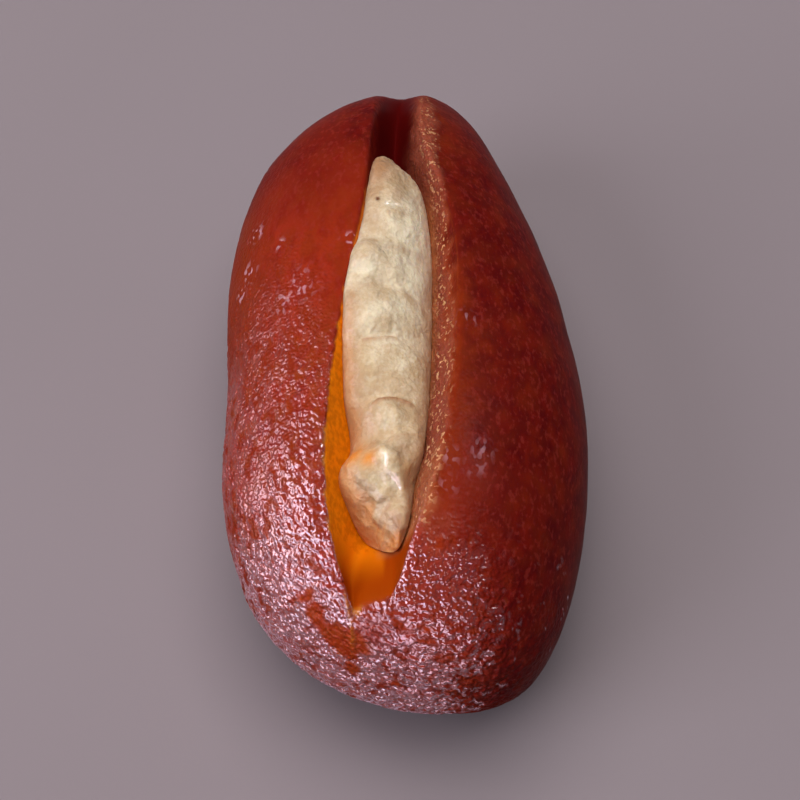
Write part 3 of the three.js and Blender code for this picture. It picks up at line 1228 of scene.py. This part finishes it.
@dataclass(frozen=True)
class SkinRelief:
    """Wrinkles, dimples, crumbs and the crack in the skin.

    The worms are the thin wandering wrinkles, and the dust is the finest of the crumbs.
    """

    crack: Crack
    drift: Drift = Drift(2.0, (1.0, 7.0, 13.0))
    bend: float = 0.45
    worms: Grain = Grain(0.5, 21.0)
    worm_ridge: Ramp = Ramp(-0.25, 0.35)
    worm_level: float = 0.4
    worm_height: float = 0.18
    flank_gain: Ramp = Ramp(24.0, 14.0, 0.5)
    folds: Grain = Grain(1.5, 25.0, 0.10)
    dimples: Grain = Grain(5.0, 31.0, 0.12)
    crumbs: Grain = Grain(0.8, 41.0)
    crumb_pit: float = -0.2
    crumb_height: float = 0.22
    dust: Grain = Grain(0.4, 43.0, 0.5)
    crack_z: float = 15.0
    above_rest: Ramp = Ramp(0.3, 3.0)

    def carve(self, grid: Grid) -> None:
        """Raise the worm-like wrinkles and crumbs, and press in the crack and shallow dimples.

        Args:
            grid: The skin, whose points are moved.
        """
        places = grid.rings
        x, y, z = np.moveaxis(places, -1, 0)
        bent = places + self.bend * self.drift.at(places)
        worms = self.worm_height * (1.0 + self.flank_gain.at(z))
        worms *= self.worm_ridge.at(self.worms.at(bent)) - self.worm_level
        lift = grid.masks[Mask.WRINKLE] * (worms + self.folds.at(bent))
        lift += self.dimples.at(places) * (1.0 - grid.masks[Mask.CUT])
        crumbs = np.maximum(self.crumbs.at(places), self.crumb_pit) + self.dust.at(places)
        lift += self.crumb_height * crumbs * grid.masks[Mask.CRUMB]
        crack = self.crack.near(x, y) * self.crack.pressed.at(y) * (z > self.crack_z)
        lift -= self.crack.depth * crack
        grid.rings = places + grid.outward() * (lift * self.above_rest.at(z))[..., None]


@dataclass
class Roll:
    """The dough: the roll with its slit."""

    shape: RollShape
    slit: SlitShape
    finish: DoughFinish
    band: LipBand = LipBand()
    crack: Crack = Crack()
    stations: int = 332
    fine_stations: int = 4001
    right_steps: int = 92
    left_steps: int = 156
    slit_steps: int = 52
    right_crowding: float = 0.52
    left_crowding: float = 0.62
    slit_crowding: float = 0.25
    near_density: float = 1.6
    near_half: Ramp = Ramp(0.3, -0.3)
    lip_reach: float = 0.6
    lip_spread: float = 0.12

    def spread_stations(self) -> np.ndarray:
        """Space the stations over the skin, closer together toward the near end.

        Returns:
            The stations, from -1 at the near tip to 1 at the far tip.
        """
        fine = -np.cos(np.linspace(0.0, math.pi, self.fine_stations))
        cut = self.shape.section(fine)
        density = 1.0 + (self.near_density - 1.0) * self.near_half.at(fine[1:])
        steps = np.hypot(np.diff(cut.y), np.diff((cut.left + cut.right) / 2)) * density
        run = np.concatenate([[0.0], np.cumsum(steps)])
        return np.interp(np.linspace(0.0, run[-1], self.stations + 2)[1:-1], run, fine)

    def angles(self, cut: Section) -> np.ndarray:
        """Lay out the points of each ring: up the right flank, across the slit and down the left flank.

        Args:
            cut: Sections of the roll, one row for each station.

        Returns:
            The angles, one row for each station.
        """
        width = cut.left + cut.right
        left = np.maximum(self.slit.left_lip.at(cut.y), cut.centre - self.lip_reach * cut.left)
        least, most = left + self.lip_spread * width, cut.centre + self.lip_reach * cut.right
        right = np.clip(self.slit.right_lip.at(cut.y), least, most)
        up = (np.arange(self.right_steps) / self.right_steps) ** self.right_crowding
        down = 1.0 - (1.0 - np.arange(self.left_steps) / self.left_steps) ** self.left_crowding
        right_angle = self.shape.angle_over(cut, right)
        left_angle = self.shape.angle_over(cut, left)
        even = np.arange(self.slit_steps) / self.slit_steps
        crowded = 1.0 - np.cos(math.pi * even)
        share = (1.0 - 2.0 * self.slit_crowding) * even + self.slit_crowding * crowded
        return np.concatenate(
            [
                -math.pi / 2 + (right_angle + math.pi / 2) * up,
                self.shape.angle_over(cut, right + (left - right) * share),
                left_angle + (1.5 * math.pi - left_angle) * down,
            ],
            axis=1,
        )

    def grid(self) -> Grid:
        """Work out the skin's points and masks.

        Returns:
            The skin as rings.
        """
        cut = self.shape.section(self.spread_stations()[:, None])
        angle = self.angles(cut)
        x, z = self.shape.skin(cut, angle)
        y = np.broadcast_to(cut.y, x.shape)
        above = np.sin(angle) > 0
        depth = np.where(above, self.slit.depth_at(x, y, self.shape.length / 2), 0.0)
        tips = [
            (float(tip.centre[0]), float(tip.y[0]), self.shape.widest_level)
            for tip in (self.shape.section(np.array([-1.0])), self.shape.section(np.array([1.0])))
        ]
        grid = Grid(np.stack([x, y, z - depth], -1), *tips)
        CutPaint(self.slit, self.band, self.crack).paint(grid, depth)
        SkinPaint(self.band).paint(grid)
        SkinRelief(self.crack).carve(grid)
        return grid

    def build(self) -> bpy.types.Object:
        """Make the dressed dough.

        Returns:
            The dough's object.
        """
        piece = self.grid().mesh("roll_of_dough")
        piece.data.materials.append(self.finish.material())
        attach(piece, BODY)
        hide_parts("dough")
        return piece


@dataclass(frozen=True)
class Lobe:
    """Soft lump in the cream; a turn of 0 sets its length along the roll."""

    x: float
    y: float
    length: float
    width: float
    turn: float
    rise: float

    def height(self, x: np.ndarray, y: np.ndarray) -> np.ndarray:
        """Work out the height that it adds.

        Args:
            x: Places across the roll.
            y: Places along the roll.

        Returns:
            The height at each place.
        """
        across = (x - self.x) * math.cos(self.turn) + (y - self.y) * math.sin(self.turn)
        lengthwise = (y - self.y) * math.cos(self.turn) - (x - self.x) * math.sin(self.turn)
        return self.rise * bell((across / self.width) ** 2 + (lengthwise / self.length) ** 2, 1.0)


@dataclass(frozen=True)
class Fold:
    """Thin crease across the cream."""

    start_x: float
    end_x: float
    y: float
    slope: float = 0.0
    bow: float = 0.0
    width: float = 0.35
    depth: float = 0.12
    fade: Ramp = Ramp(1.25, 0.7)

    def near(self, x: np.ndarray, y: np.ndarray) -> np.ndarray:
        """Work out how near places are to the crease.

        Args:
            x: Places across the roll.
            y: Places along the roll.

        Returns:
            Closeness of each place, 1 on the crease and 0 well away from it.
        """
        middle, half = (self.start_x + self.end_x) / 2, (self.end_x - self.start_x) / 2
        t = (x - middle) / half
        line = self.y + self.slope * (x - middle) - self.bow * t * t
        return bell(y - line, self.width) * self.fade.at(np.abs(t))


@dataclass(frozen=True)
class CreamPaint:
    """Where the cream is stained, shaded, pale or given painted light, glossy or specked.

    The margin is the strip beside the left wall, which is soaked right at that wall. A rag makes an edge
    uneven.
    """

    near_y: float
    folds: tuple[Fold, ...]
    crests: tuple[Lobe, ...]
    rag: Grain = Grain(1.4, 91.0, 0.35)
    soaked: Ramp = Ramp(1.2, 0.8, 0.12)
    soaked_rag: float = 0.5
    margin: Ramp = Ramp(2.6, 0.5)
    margin_length: Ramp = Ramp(3.0, -1.0)
    margin_share: float = 0.1
    stain_length: Ramp = Ramp(2.0, -3.0)
    low_side: Ramp = Ramp(2.0, 0.6)
    low_side_rag: float = 3.0
    low_stain: Ramp = Ramp(-17.0, -20.0, 0.5)
    tip: Ramp = Ramp(2.6, 1.0, 0.6)
    tip_lean: float = 0.6
    stain_share: float = 0.95
    stains: tuple[Spot, ...] = (
        Spot(-6.2, -17.4, 29.6, 1.5),
        Spot(-4.9, -18.2, 31.2, 1.0),
        Spot(-0.3, -19.8, 30.8, 0.9),
    )
    upper: Ramp = Ramp(3.0, 11.0)
    right_shade: Ramp = Ramp(2.0, 0.1, 0.5)
    right_shade_rag: float = 0.5
    shade_mottle: Grain = Grain(2.4, 93.0, 0.16)
    left_shade: Ramp = Ramp(0.5, 0.15)
    left_shade_share: float = 0.14
    left_shade_upper: float = 0.16
    far_shade: Ramp = Ramp(13.0, 18.5, 0.4)
    margin_shade: Ramp = Ramp(-20.0, -14.0, 0.26)
    fold_shade: float = 2.2
    shades: tuple[Spot, ...] = (
        Spot(-2.0, -11.6, 33.0, 1.3, 0.6),
        Spot(0.2, -11.8, 32.5, 1.2, 0.6),
        Spot(-3.0, -4.8, 33.5, 0.7, 0.5),
        Spot(-1.2, -4.8, 33.5, 0.7, 0.5),
        Spot(0.0, 16.5, 32.8, 1.2, 0.5),
        Spot(0.8, 13.5, 33.2, 1.4, 0.5),
        Spot(-2.8, 6.6, 33.0, 0.9, 0.4),
        Spot(-2.4, -25.6, 29.9, 1.7, 0.9),
        Spot(-1.0, -23.4, 30.8, 1.5, 0.7),
        Spot(-2.0, -26.0, 28.6, 1.6, 0.9),
        Spot(-0.8, -17.6, 31.8, 1.5, 0.45),
    )
    pale_middle: Window = Window(-13.0, -2.0, 11.0, 15.0, 0.48)
    pale_mottle: Grain = Grain(2.0, 95.0, 0.2)
    # Painted light on the right half, evening out the light that falls from the left.
    painted_light_right: Ramp = Ramp(0.4, 0.8)
    painted_light_right_length: Ramp = Ramp(-2.0, 6.0, 0.5)
    # Pale spots, most of them painted light on lit lumps.
    pale_and_lit_spots: tuple[Spot, ...] = (
        Spot(0.9, 8.3, 33.0, 2.3, 1.3),
        Spot(-3.9, 3.0, 33.9, 1.5, 1.1),
        Spot(0.6, 2.6, 33.8, 2.0, 0.85),
        Spot(-3.1, -14.0, 32.4, 1.5, 0.6),
        # Painted highlight on the near lump.
        Spot(-3.1, -15.0, 32.2, 0.6, 1.2),
        Spot(-3.4, -18.4, 32.8, 1.0, 0.8),
        Spot(-2.3, -21.0, 32.4, 1.2, 0.85),
        Spot(-4.6, -21.6, 31.4, 1.5, 0.5),
        Spot(-2.6, -23.6, 30.8, 0.8, 0.4),
    )
    speck: Lobe = Lobe(-1.9, 12.6, 0.3, 0.25, 0.4, 1.0)
    # Painted highlight on the glossy crests.
    crest_highlight: float = 0.5

    def paint(self, grid: Grid, from_left: np.ndarray, from_right: np.ndarray) -> None:
        """Set the masks of the cream.

        Args:
            grid: The filling's skin.
            from_left: Distance of each point from the left wall.
            from_right: Distance of each point from the right wall.
        """
        x, y, _ = np.moveaxis(grid.rings, -1, 0)
        rag = self.rag.at(grid.rings)
        margin = self.margin.at(from_left + rag) * self.margin_length.at(y)
        across = from_left / np.maximum(from_left + from_right, TINY)
        shade = self.shade(grid, rag, across, from_right) + margin * self.margin_shade.at(y)
        shades = [shade, nearest(self.shades, grid.rings)]
        shades += [self.fold_shade * fold.depth * fold.near(x, y) for fold in self.folds]
        pale = self.pale_middle.at(y) + self.pale_mottle.at(grid.rings)
        # Painted light on the right half and on the crests.
        pale += self.painted_light_right.at(across) * self.painted_light_right_length.at(y)
        gloss = sum(crest.height(x, y) / crest.rise for crest in self.crests)
        pale = np.maximum(pale, nearest(self.pale_and_lit_spots, grid.rings)) + self.crest_highlight * gloss
        grid.masks[Mask.STAIN] = np.clip(self.stain(grid, rag, margin, from_left), 0.0, 1.0)
        grid.masks[Mask.SHADE] = np.clip(np.max(shades, axis=0), 0.0, 1.0)
        grid.masks[Mask.WET] = np.clip(gloss, 0.0, 1.0)
        grid.masks[Mask.PALE] = np.clip(pale, 0.0, 1.0)
        grid.masks[Mask.SPECK] = self.speck.height(x, y)

    def stain(self, grid: Grid, rag: np.ndarray, margin: np.ndarray, from_left: np.ndarray) -> np.ndarray:
        """Work out how far syrup has stained the cream.

        Args:
            grid: The filling's skin.
            rag: Fine unevenness of the stains' edges.
            margin: Nearness of each point to the left wall.
            from_left: Distance of each point from the left wall.

        Returns:
            Share of stain at each point.
        """
        y = grid.rings[..., 1]
        soaked = self.soaked.at(from_left + self.soaked_rag * rag)
        wall = (soaked + self.margin_share * margin) * self.stain_length.at(y)
        low = self.low_side.at(from_left + self.low_side_rag * rag) * self.low_stain.at(y)
        tip = self.tip.at(y - self.near_y + self.tip_lean * from_left + rag)
        return self.stain_share * np.max([wall, low, tip, nearest(self.stains, grid.rings)], axis=0)

    def shade(self, grid: Grid, rag: np.ndarray, across: np.ndarray, from_right: np.ndarray) -> np.ndarray:
        """Work out how dark the cream is, apart from its spots and folds.

        Args:
            grid: The filling's skin.
            rag: Fine unevenness of the shades' edges.
            across: Place of each point between the left wall and the right wall, from 0 to 1.
            from_right: Distance of each point from the right wall.

        Returns:
            Share of shade at each point.
        """
        y = grid.rings[..., 1]
        upper = self.upper.at(y)
        right = self.right_shade.at(from_right + self.right_shade_rag * rag) * (1.0 - upper)
        left = (self.left_shade_share + self.left_shade_upper * upper) * self.left_shade.at(across)
        return right + left + self.shade_mottle.at(grid.rings) + self.far_shade.at(y)


@dataclass(frozen=True)
class CreamRelief:
    """Ruffles, thin creases and small lumps in the cream."""

    folds: tuple[Fold, ...]
    crests: tuple[Lobe, ...]
    ruffles: tuple[Grain, ...] = (Grain(2.6, 51.0, 0.2), Grain(1.1, 61.0, 0.12), Grain(0.5, 71.0, 0.07))
    lines: Grain = Grain(1.6, 55.0)
    line_squeeze: tuple[float, float, float] = (0.45, 1.0, 0.6)
    line_width: float = 0.09
    line_depth: float = 0.12
    line_places: Grain = Grain(4.0, 57.0)
    line_cover: Ramp = Ramp(0.0, 0.3)
    near_curds: Grain = Grain(1.5, 81.0)
    near_curd_height: Ramp = Ramp(-12.0, -17.0, 0.3)
    lumps: tuple[Lobe, ...] = (
        Lobe(-3.3, -14.4, 1.7, 1.6, 0.2, 0.35),
        Lobe(-0.9, -16.4, 1.7, 1.2, 0.3, 0.25),
        Lobe(-4.6, -21.0, 1.9, 1.4, -0.2, 0.15),
        Lobe(-2.3, -24.9, 1.3, 0.8, 0.3, 0.3),
        Lobe(-5.2, -22.6, 0.9, 0.8, 0.5, 0.3),
        Lobe(-4.4, -24.3, 0.9, 0.7, 0.6, 0.35),
        Lobe(-3.3, -25.6, 0.8, 0.7, 0.6, 0.3),
        Lobe(-3.6, -22.9, 0.7, 0.8, 0.2, 0.2),
    )

    def carve(self, grid: Grid, top: np.ndarray) -> None:
        """Ruffle the cream.

        Args:
            grid: The filling's skin, whose points are moved.
            top: Share of the ruffles at each point of a ring, 0 on the keel.
        """
        places = grid.rings
        x, y, _ = np.moveaxis(places, -1, 0)
        lift = sum(ruffle.at(places) for ruffle in self.ruffles)
        lift += self.near_curd_height.at(y) * self.near_curds.at(places)
        lines = bell(self.lines.at(places * np.array(self.line_squeeze)), self.line_width)
        lift -= self.line_depth * lines * self.line_cover.at(self.line_places.at(places))
        lift -= sum(fold.depth * fold.near(x, y) for fold in self.folds)
        lift += sum(lobe.height(x, y) for lobe in self.lumps + self.crests)
        grid.rings = places + grid.outward() * (top * lift)[..., None]


@dataclass
class Filling:
    """The cream pressed into the slit."""

    roll: RollShape
    slit: SlitShape
    finish: CreamFinish
    near_y: float = -26.5
    far_y: float = 21.5
    left: Line = Line(
        (
            (23, -1.8), (16, -2.8), (12, -3.5), (8, -4.4), (5, -5.4), (0, -6.3),
            (-10, -6.8), (-15, -6.4), (-19, -7.8), (-22, -6.6), (-24, -5.3), (-28, -2.5),
        )
    )
    right: Line = Line(
        (
            (23, 0.9), (19.5, 2.5), (16, 3.6), (10, 3.9), (0, 3.2), (-10, 2.1),
            (-16, 1.1), (-18, 0.6), (-20, -0.2), (-24, -0.8), (-28, -1.7),
        )
    )
    crown: float = 3.1
    end_power: float = 16.0
    sink: float = 0.15
    creases: tuple[float, ...] = (15.6, 8.0, 1.6, -4.6, -11.4)
    crease_depth: float = 0.45
    crease_width: float = 0.9
    crease_bow: float = 1.1
    lobes: tuple[Lobe, ...] = (
        Lobe(0.8, 10.6, 4.0, 3.0, 0.0, 0.5),
        Lobe(-4.0, 5.2, 1.9, 2.3, 0.4, 0.7),
        Lobe(0.8, 3.4, 1.7, 3.2, -0.2, 0.4),
        Lobe(-2.6, -1.8, 2.4, 3.4, 0.0, 0.35),
        Lobe(-3.2, -13.6, 1.8, 2.1, 0.0, 0.9),
        Lobe(0.0, -16.0, 2.6, 2.3, 0.0, 0.4),
        Lobe(-2.3, -19.5, 2.9, 1.3, 0.6, 1.1),
        Lobe(-5.0, -21.4, 2.4, 2.2, 0.0, 0.6),
        Lobe(-2.3, -24.6, 1.5, 1.5, 0.0, 0.6),
        Lobe(0.4, -20.4, 1.4, 1.3, 0.0, -0.8),
    )
    folds: tuple[Fold, ...] = (
        Fold(-4.7, -1.2, -5.0, slope=0.1, width=0.2, depth=0.3),
        Fold(-4.0, 0.2, -11.9, bow=0.5, width=0.28, depth=0.38),
        Fold(-5.4, -3.0, 1.1, width=0.3, depth=0.14),
        Fold(-0.4, 2.2, 0.4, slope=-0.3, width=0.6, depth=0.12),
        Fold(-5.2, -2.2, 5.8, slope=-0.2, width=0.5),
        Fold(-1.8, 2.4, 6.2, slope=0.1, width=0.6),
        Fold(-1.4, 1.0, 10.9, slope=0.2, width=0.35),
        Fold(-3.0, 0.6, -16.0, slope=0.3, width=0.4, depth=0.15),
        Fold(-6.4, -3.6, -16.9, slope=0.4, width=0.6, depth=0.2),
        Fold(-4.4, -2.8, -23.4, slope=0.9, width=0.4, depth=0.2),
    )
    crests: tuple[Lobe, ...] = (
        Lobe(-3.1, -14.9, 0.35, 0.5, 0.3, 0.12),
        Lobe(-3.5, -18.6, 1.0, 0.5, 0.3, 0.45),
        Lobe(-2.3, -21.0, 0.9, 0.55, 0.6, 0.5),
        Lobe(-4.4, 3.1, 0.5, 1.0, 0.0, 0.25),
        Lobe(-0.4, 11.9, 0.3, 1.0, 0.1, 0.2),
    )
    stations: int = 260
    mound_steps: int = 80
    keel_steps: int = 20
    top_spread: float = 0.25

    def slit_height(self, x: np.ndarray, y: np.ndarray) -> np.ndarray:
        """Work out the height of the slit's surface.

        Args:
            x: Places across the roll.
            y: Places along the roll.

        Returns:
            The height at each place.
        """
        cut = self.roll.section(2.0 * y / self.roll.length)
        _, z = self.roll.skin(cut, self.roll.angle_over(cut, x))
        return z - self.slit.depth_at(x, y, self.roll.length / 2)

    def base(self, x: np.ndarray, y: np.ndarray) -> np.ndarray:
        """Height just inside the slit's surface, so that no gap shows."""
        return self.slit_height(x, y) - self.sink

    def mound(self, x: np.ndarray, y: np.ndarray, v: np.ndarray) -> np.ndarray:
        """Work out the height of the lobed and creased mound over its chord.

        Args:
            x: Places across the roll.
            y: Places along the roll.
            v: Places from -1 at the left wall to 1 at the right wall.

        Returns:
            The height at each place, 0 at both walls.
        """
        crown = self.crown + sum(lobe.height(x, y) for lobe in self.lobes)
        for crease in self.creases:
            off_crease = y - crease + self.crease_bow * v * v
            crown -= self.crease_depth * bell(off_crease, self.crease_width)
        return crown * np.sqrt(1.0 - v * v)

    def grid(self) -> Grid:
        """Work out the filling's points and masks.

        Returns:
            The filling as rings.
        """
        middle, half = (self.near_y + self.far_y) / 2, (self.far_y - self.near_y) / 2
        t = -np.cos(math.pi * np.arange(1, self.stations) / self.stations)[:, None]
        y = middle + half * t
        left, right = self.left.at(y), self.right.at(y)
        left_z, right_z = self.base(left, y), self.base(right, y)
        fullness = np.sqrt(1.0 - np.abs(t) ** self.end_power)
        heart_x, heart_z = (left + right) / 2, (left_z + right_z) / 2
        keel = 0.5 - 0.5 * np.cos(math.pi * np.arange(self.keel_steps) / self.keel_steps)
        keel_x = left + (right - left) * keel
        keel_z = self.base(keel_x, np.broadcast_to(y, keel_x.shape))
        v = np.cos(math.pi * np.arange(self.mound_steps) / self.mound_steps)[None, :]
        mound_x = heart_x + v * (right - left) / 2
        mound_z = heart_z + v * (right_z - left_z) / 2 + self.mound(mound_x, y, v)
        x = np.concatenate([keel_x, mound_x], axis=1)
        z = np.concatenate([keel_z, mound_z], axis=1)
        x, z = heart_x + (x - heart_x) * fullness, heart_z + (z - heart_z) * fullness
        rings = np.stack([x, np.broadcast_to(y, x.shape), z], -1)
        poles = [
            (float((self.left.at(end) + self.right.at(end)) / 2), end, float(level))
            for end, level in ((self.near_y, heart_z[0, 0]), (self.far_y, heart_z[-1, 0]))
        ]
        grid = Grid(rings, *poles)
        CreamPaint(self.near_y, self.folds, self.crests).paint(grid, x - left, right - x)
        top = np.concatenate([np.zeros_like(keel), (1.0 - v[0] ** 2) ** self.top_spread])
        CreamRelief(self.folds, self.crests).carve(grid, top[None, :])
        return grid

    def build(self) -> bpy.types.Object:
        """Make the dressed filling.

        Returns:
            The filling's object.
        """
        piece = self.grid().mesh("cream_bar")
        piece.data.materials.append(self.finish.material())
        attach(piece, BODY)
        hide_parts("filling")
        return piece


class Reach(Enum):
    """Whether a light fills the scene or gleams on wet faces."""

    FILL = "fill"
    GLEAM = "gleam"


@dataclass(frozen=True)
class Softbox:
    """One soft light; reach tells what it acts on."""

    name: str
    place: Point
    width: float
    height: float
    watts: float
    colour: Colour
    reach: Reach

    def build(self, target: Vector) -> None:
        """Hang the light so that it faces the target.

        Args:
            target: Point that it faces, in metres.
        """
        light = bpy.data.lights.new(self.name, "AREA")
        light.shape = "RECTANGLE"
        light.size = self.width
        light.size_y = self.height
        light.energy = self.watts
        light.color = self.colour
        holder = bpy.data.objects.new(self.name, light)
        holder.location = self.place
        holder.rotation_euler = (target - Vector(self.place)).to_track_quat("-Z", "Y").to_euler()
        holder.visible_camera = False
        holder.visible_glossy = self.reach is Reach.GLEAM
        holder.visible_diffuse = self.reach is Reach.FILL
        bpy.context.collection.objects.link(holder)


@dataclass
class Studio:
    """Pale floor, soft lights and the camera."""

    camera_mm: Point = (-10.62, -95.47, 169.81)
    target_mm: Point = (0.0, -1.5, 14.0)
    camera_turn: tuple[float, float, float] = (31.222, -1.461, -4.038)
    lens_mm: float = 72.0
    sensor_mm: float = 36.0
    clip_start: float = 0.01
    floor_side: float = 3.0
    floor_pale: Colour = (0.262, 0.218, 0.24)
    floor_tint: Colour = (0.242, 0.203, 0.22)
    floor_clouds: Pattern = Pattern(60.0, 2.0)
    floor_roughness: Pattern = Pattern(25.0, 2.0, course=Course(0.3, 0.7, 0.7, 0.8))
    ambient: Colour = (0.55, 0.58, 0.66)
    ambient_strength: float = 0.10
    lights: tuple[Softbox, ...] = (
        Softbox("far_window", (-0.86, 0.07, 0.24), 0.52, 0.52, 15.0, (1.0, 0.72, 0.84), Reach.GLEAM),
        Softbox("window", (-0.76, -0.45, 0.17), 0.52, 0.40, 12.0, (0.80, 0.76, 1.0), Reach.GLEAM),
        Softbox("near_window", (-0.24, -0.84, 0.14), 0.78, 0.36, 10.5, (1.0, 0.70, 0.90), Reach.GLEAM),
        Softbox("spark", (0.45, 0.19, 0.77), 0.20, 0.20, 3.2, (1.0, 0.88, 0.94), Reach.GLEAM),
        Softbox("side", (-0.70, -0.30, 0.55), 0.5, 0.5, 4.5, (0.95, 0.95, 1.0), Reach.FILL),
        Softbox("ceiling", (-0.05, 0.10, 1.0), 0.9, 0.9, 11.0, (1.0, 0.97, 0.94), Reach.FILL),
    )

    def floor(self) -> None:
        """Lay the pale floor."""
        half = self.floor_side / 2
        mesh = bpy.data.meshes.new("floor")
        corners = [(-half, -half, 0), (half, -half, 0), (half, half, 0), (-half, half, 0)]
        mesh.from_pydata(corners, [], [(0, 1, 2, 3)])
        plane = bpy.data.objects.new("floor", mesh)
        bpy.context.collection.objects.link(plane)
        nodes = Nodes("floor_glaze")
        colour = nodes.mix(nodes.noise(self.floor_clouds), self.floor_pale, self.floor_tint)
        roughness = nodes.blotches(self.floor_roughness)
        nodes.dress({"Base Color": colour, "Roughness": roughness, "Specular IOR Level": 0.0})
        plane.data.materials.append(nodes.material)

    def camera(self) -> None:
        """Set the camera at the photograph's viewing angle."""
        data = bpy.data.cameras.new("camera")
        data.sensor_width = self.sensor_mm
        data.lens = self.lens_mm
        data.clip_start = self.clip_start
        holder = bpy.data.objects.new("camera", data)
        holder.location = Vector(self.camera_mm) * MM
        holder.rotation_euler = [math.radians(turn) for turn in self.camera_turn]
        bpy.context.collection.objects.link(holder)
        bpy.context.scene.camera = holder

    def build(self) -> None:
        """Set up the floor, lights, ambient light, camera and colour view."""
        self.floor()
        for light in self.lights:
            light.build(Vector(self.target_mm) * MM)
        world = bpy.data.worlds.new("soft_room")
        world.use_nodes = True
        background = world.node_tree.nodes["Background"]
        background.inputs["Color"].default_value = (*self.ambient, 1.0)
        background.inputs["Strength"].default_value = self.ambient_strength
        scene = bpy.context.scene
        scene.world = world
        scene.view_settings.view_transform = "Standard"
        self.camera()


def main() -> None:
    """Build the roll, its filling and the studio, in that order."""
    logging.basicConfig(level=logging.INFO, format="%(name)s: %(message)s")
    roll_shape, slit = RollShape(), SlitShape()
    for maker in (Roll(roll_shape, slit, DoughFinish()), Filling(roll_shape, slit, CreamFinish())):
        piece = maker.build()
        LOG.info("%s: %d faces", piece.name, len(piece.data.polygons))
    Studio().build()
    LOG.info("studio ready")


if __name__ == "__main__":
    main()
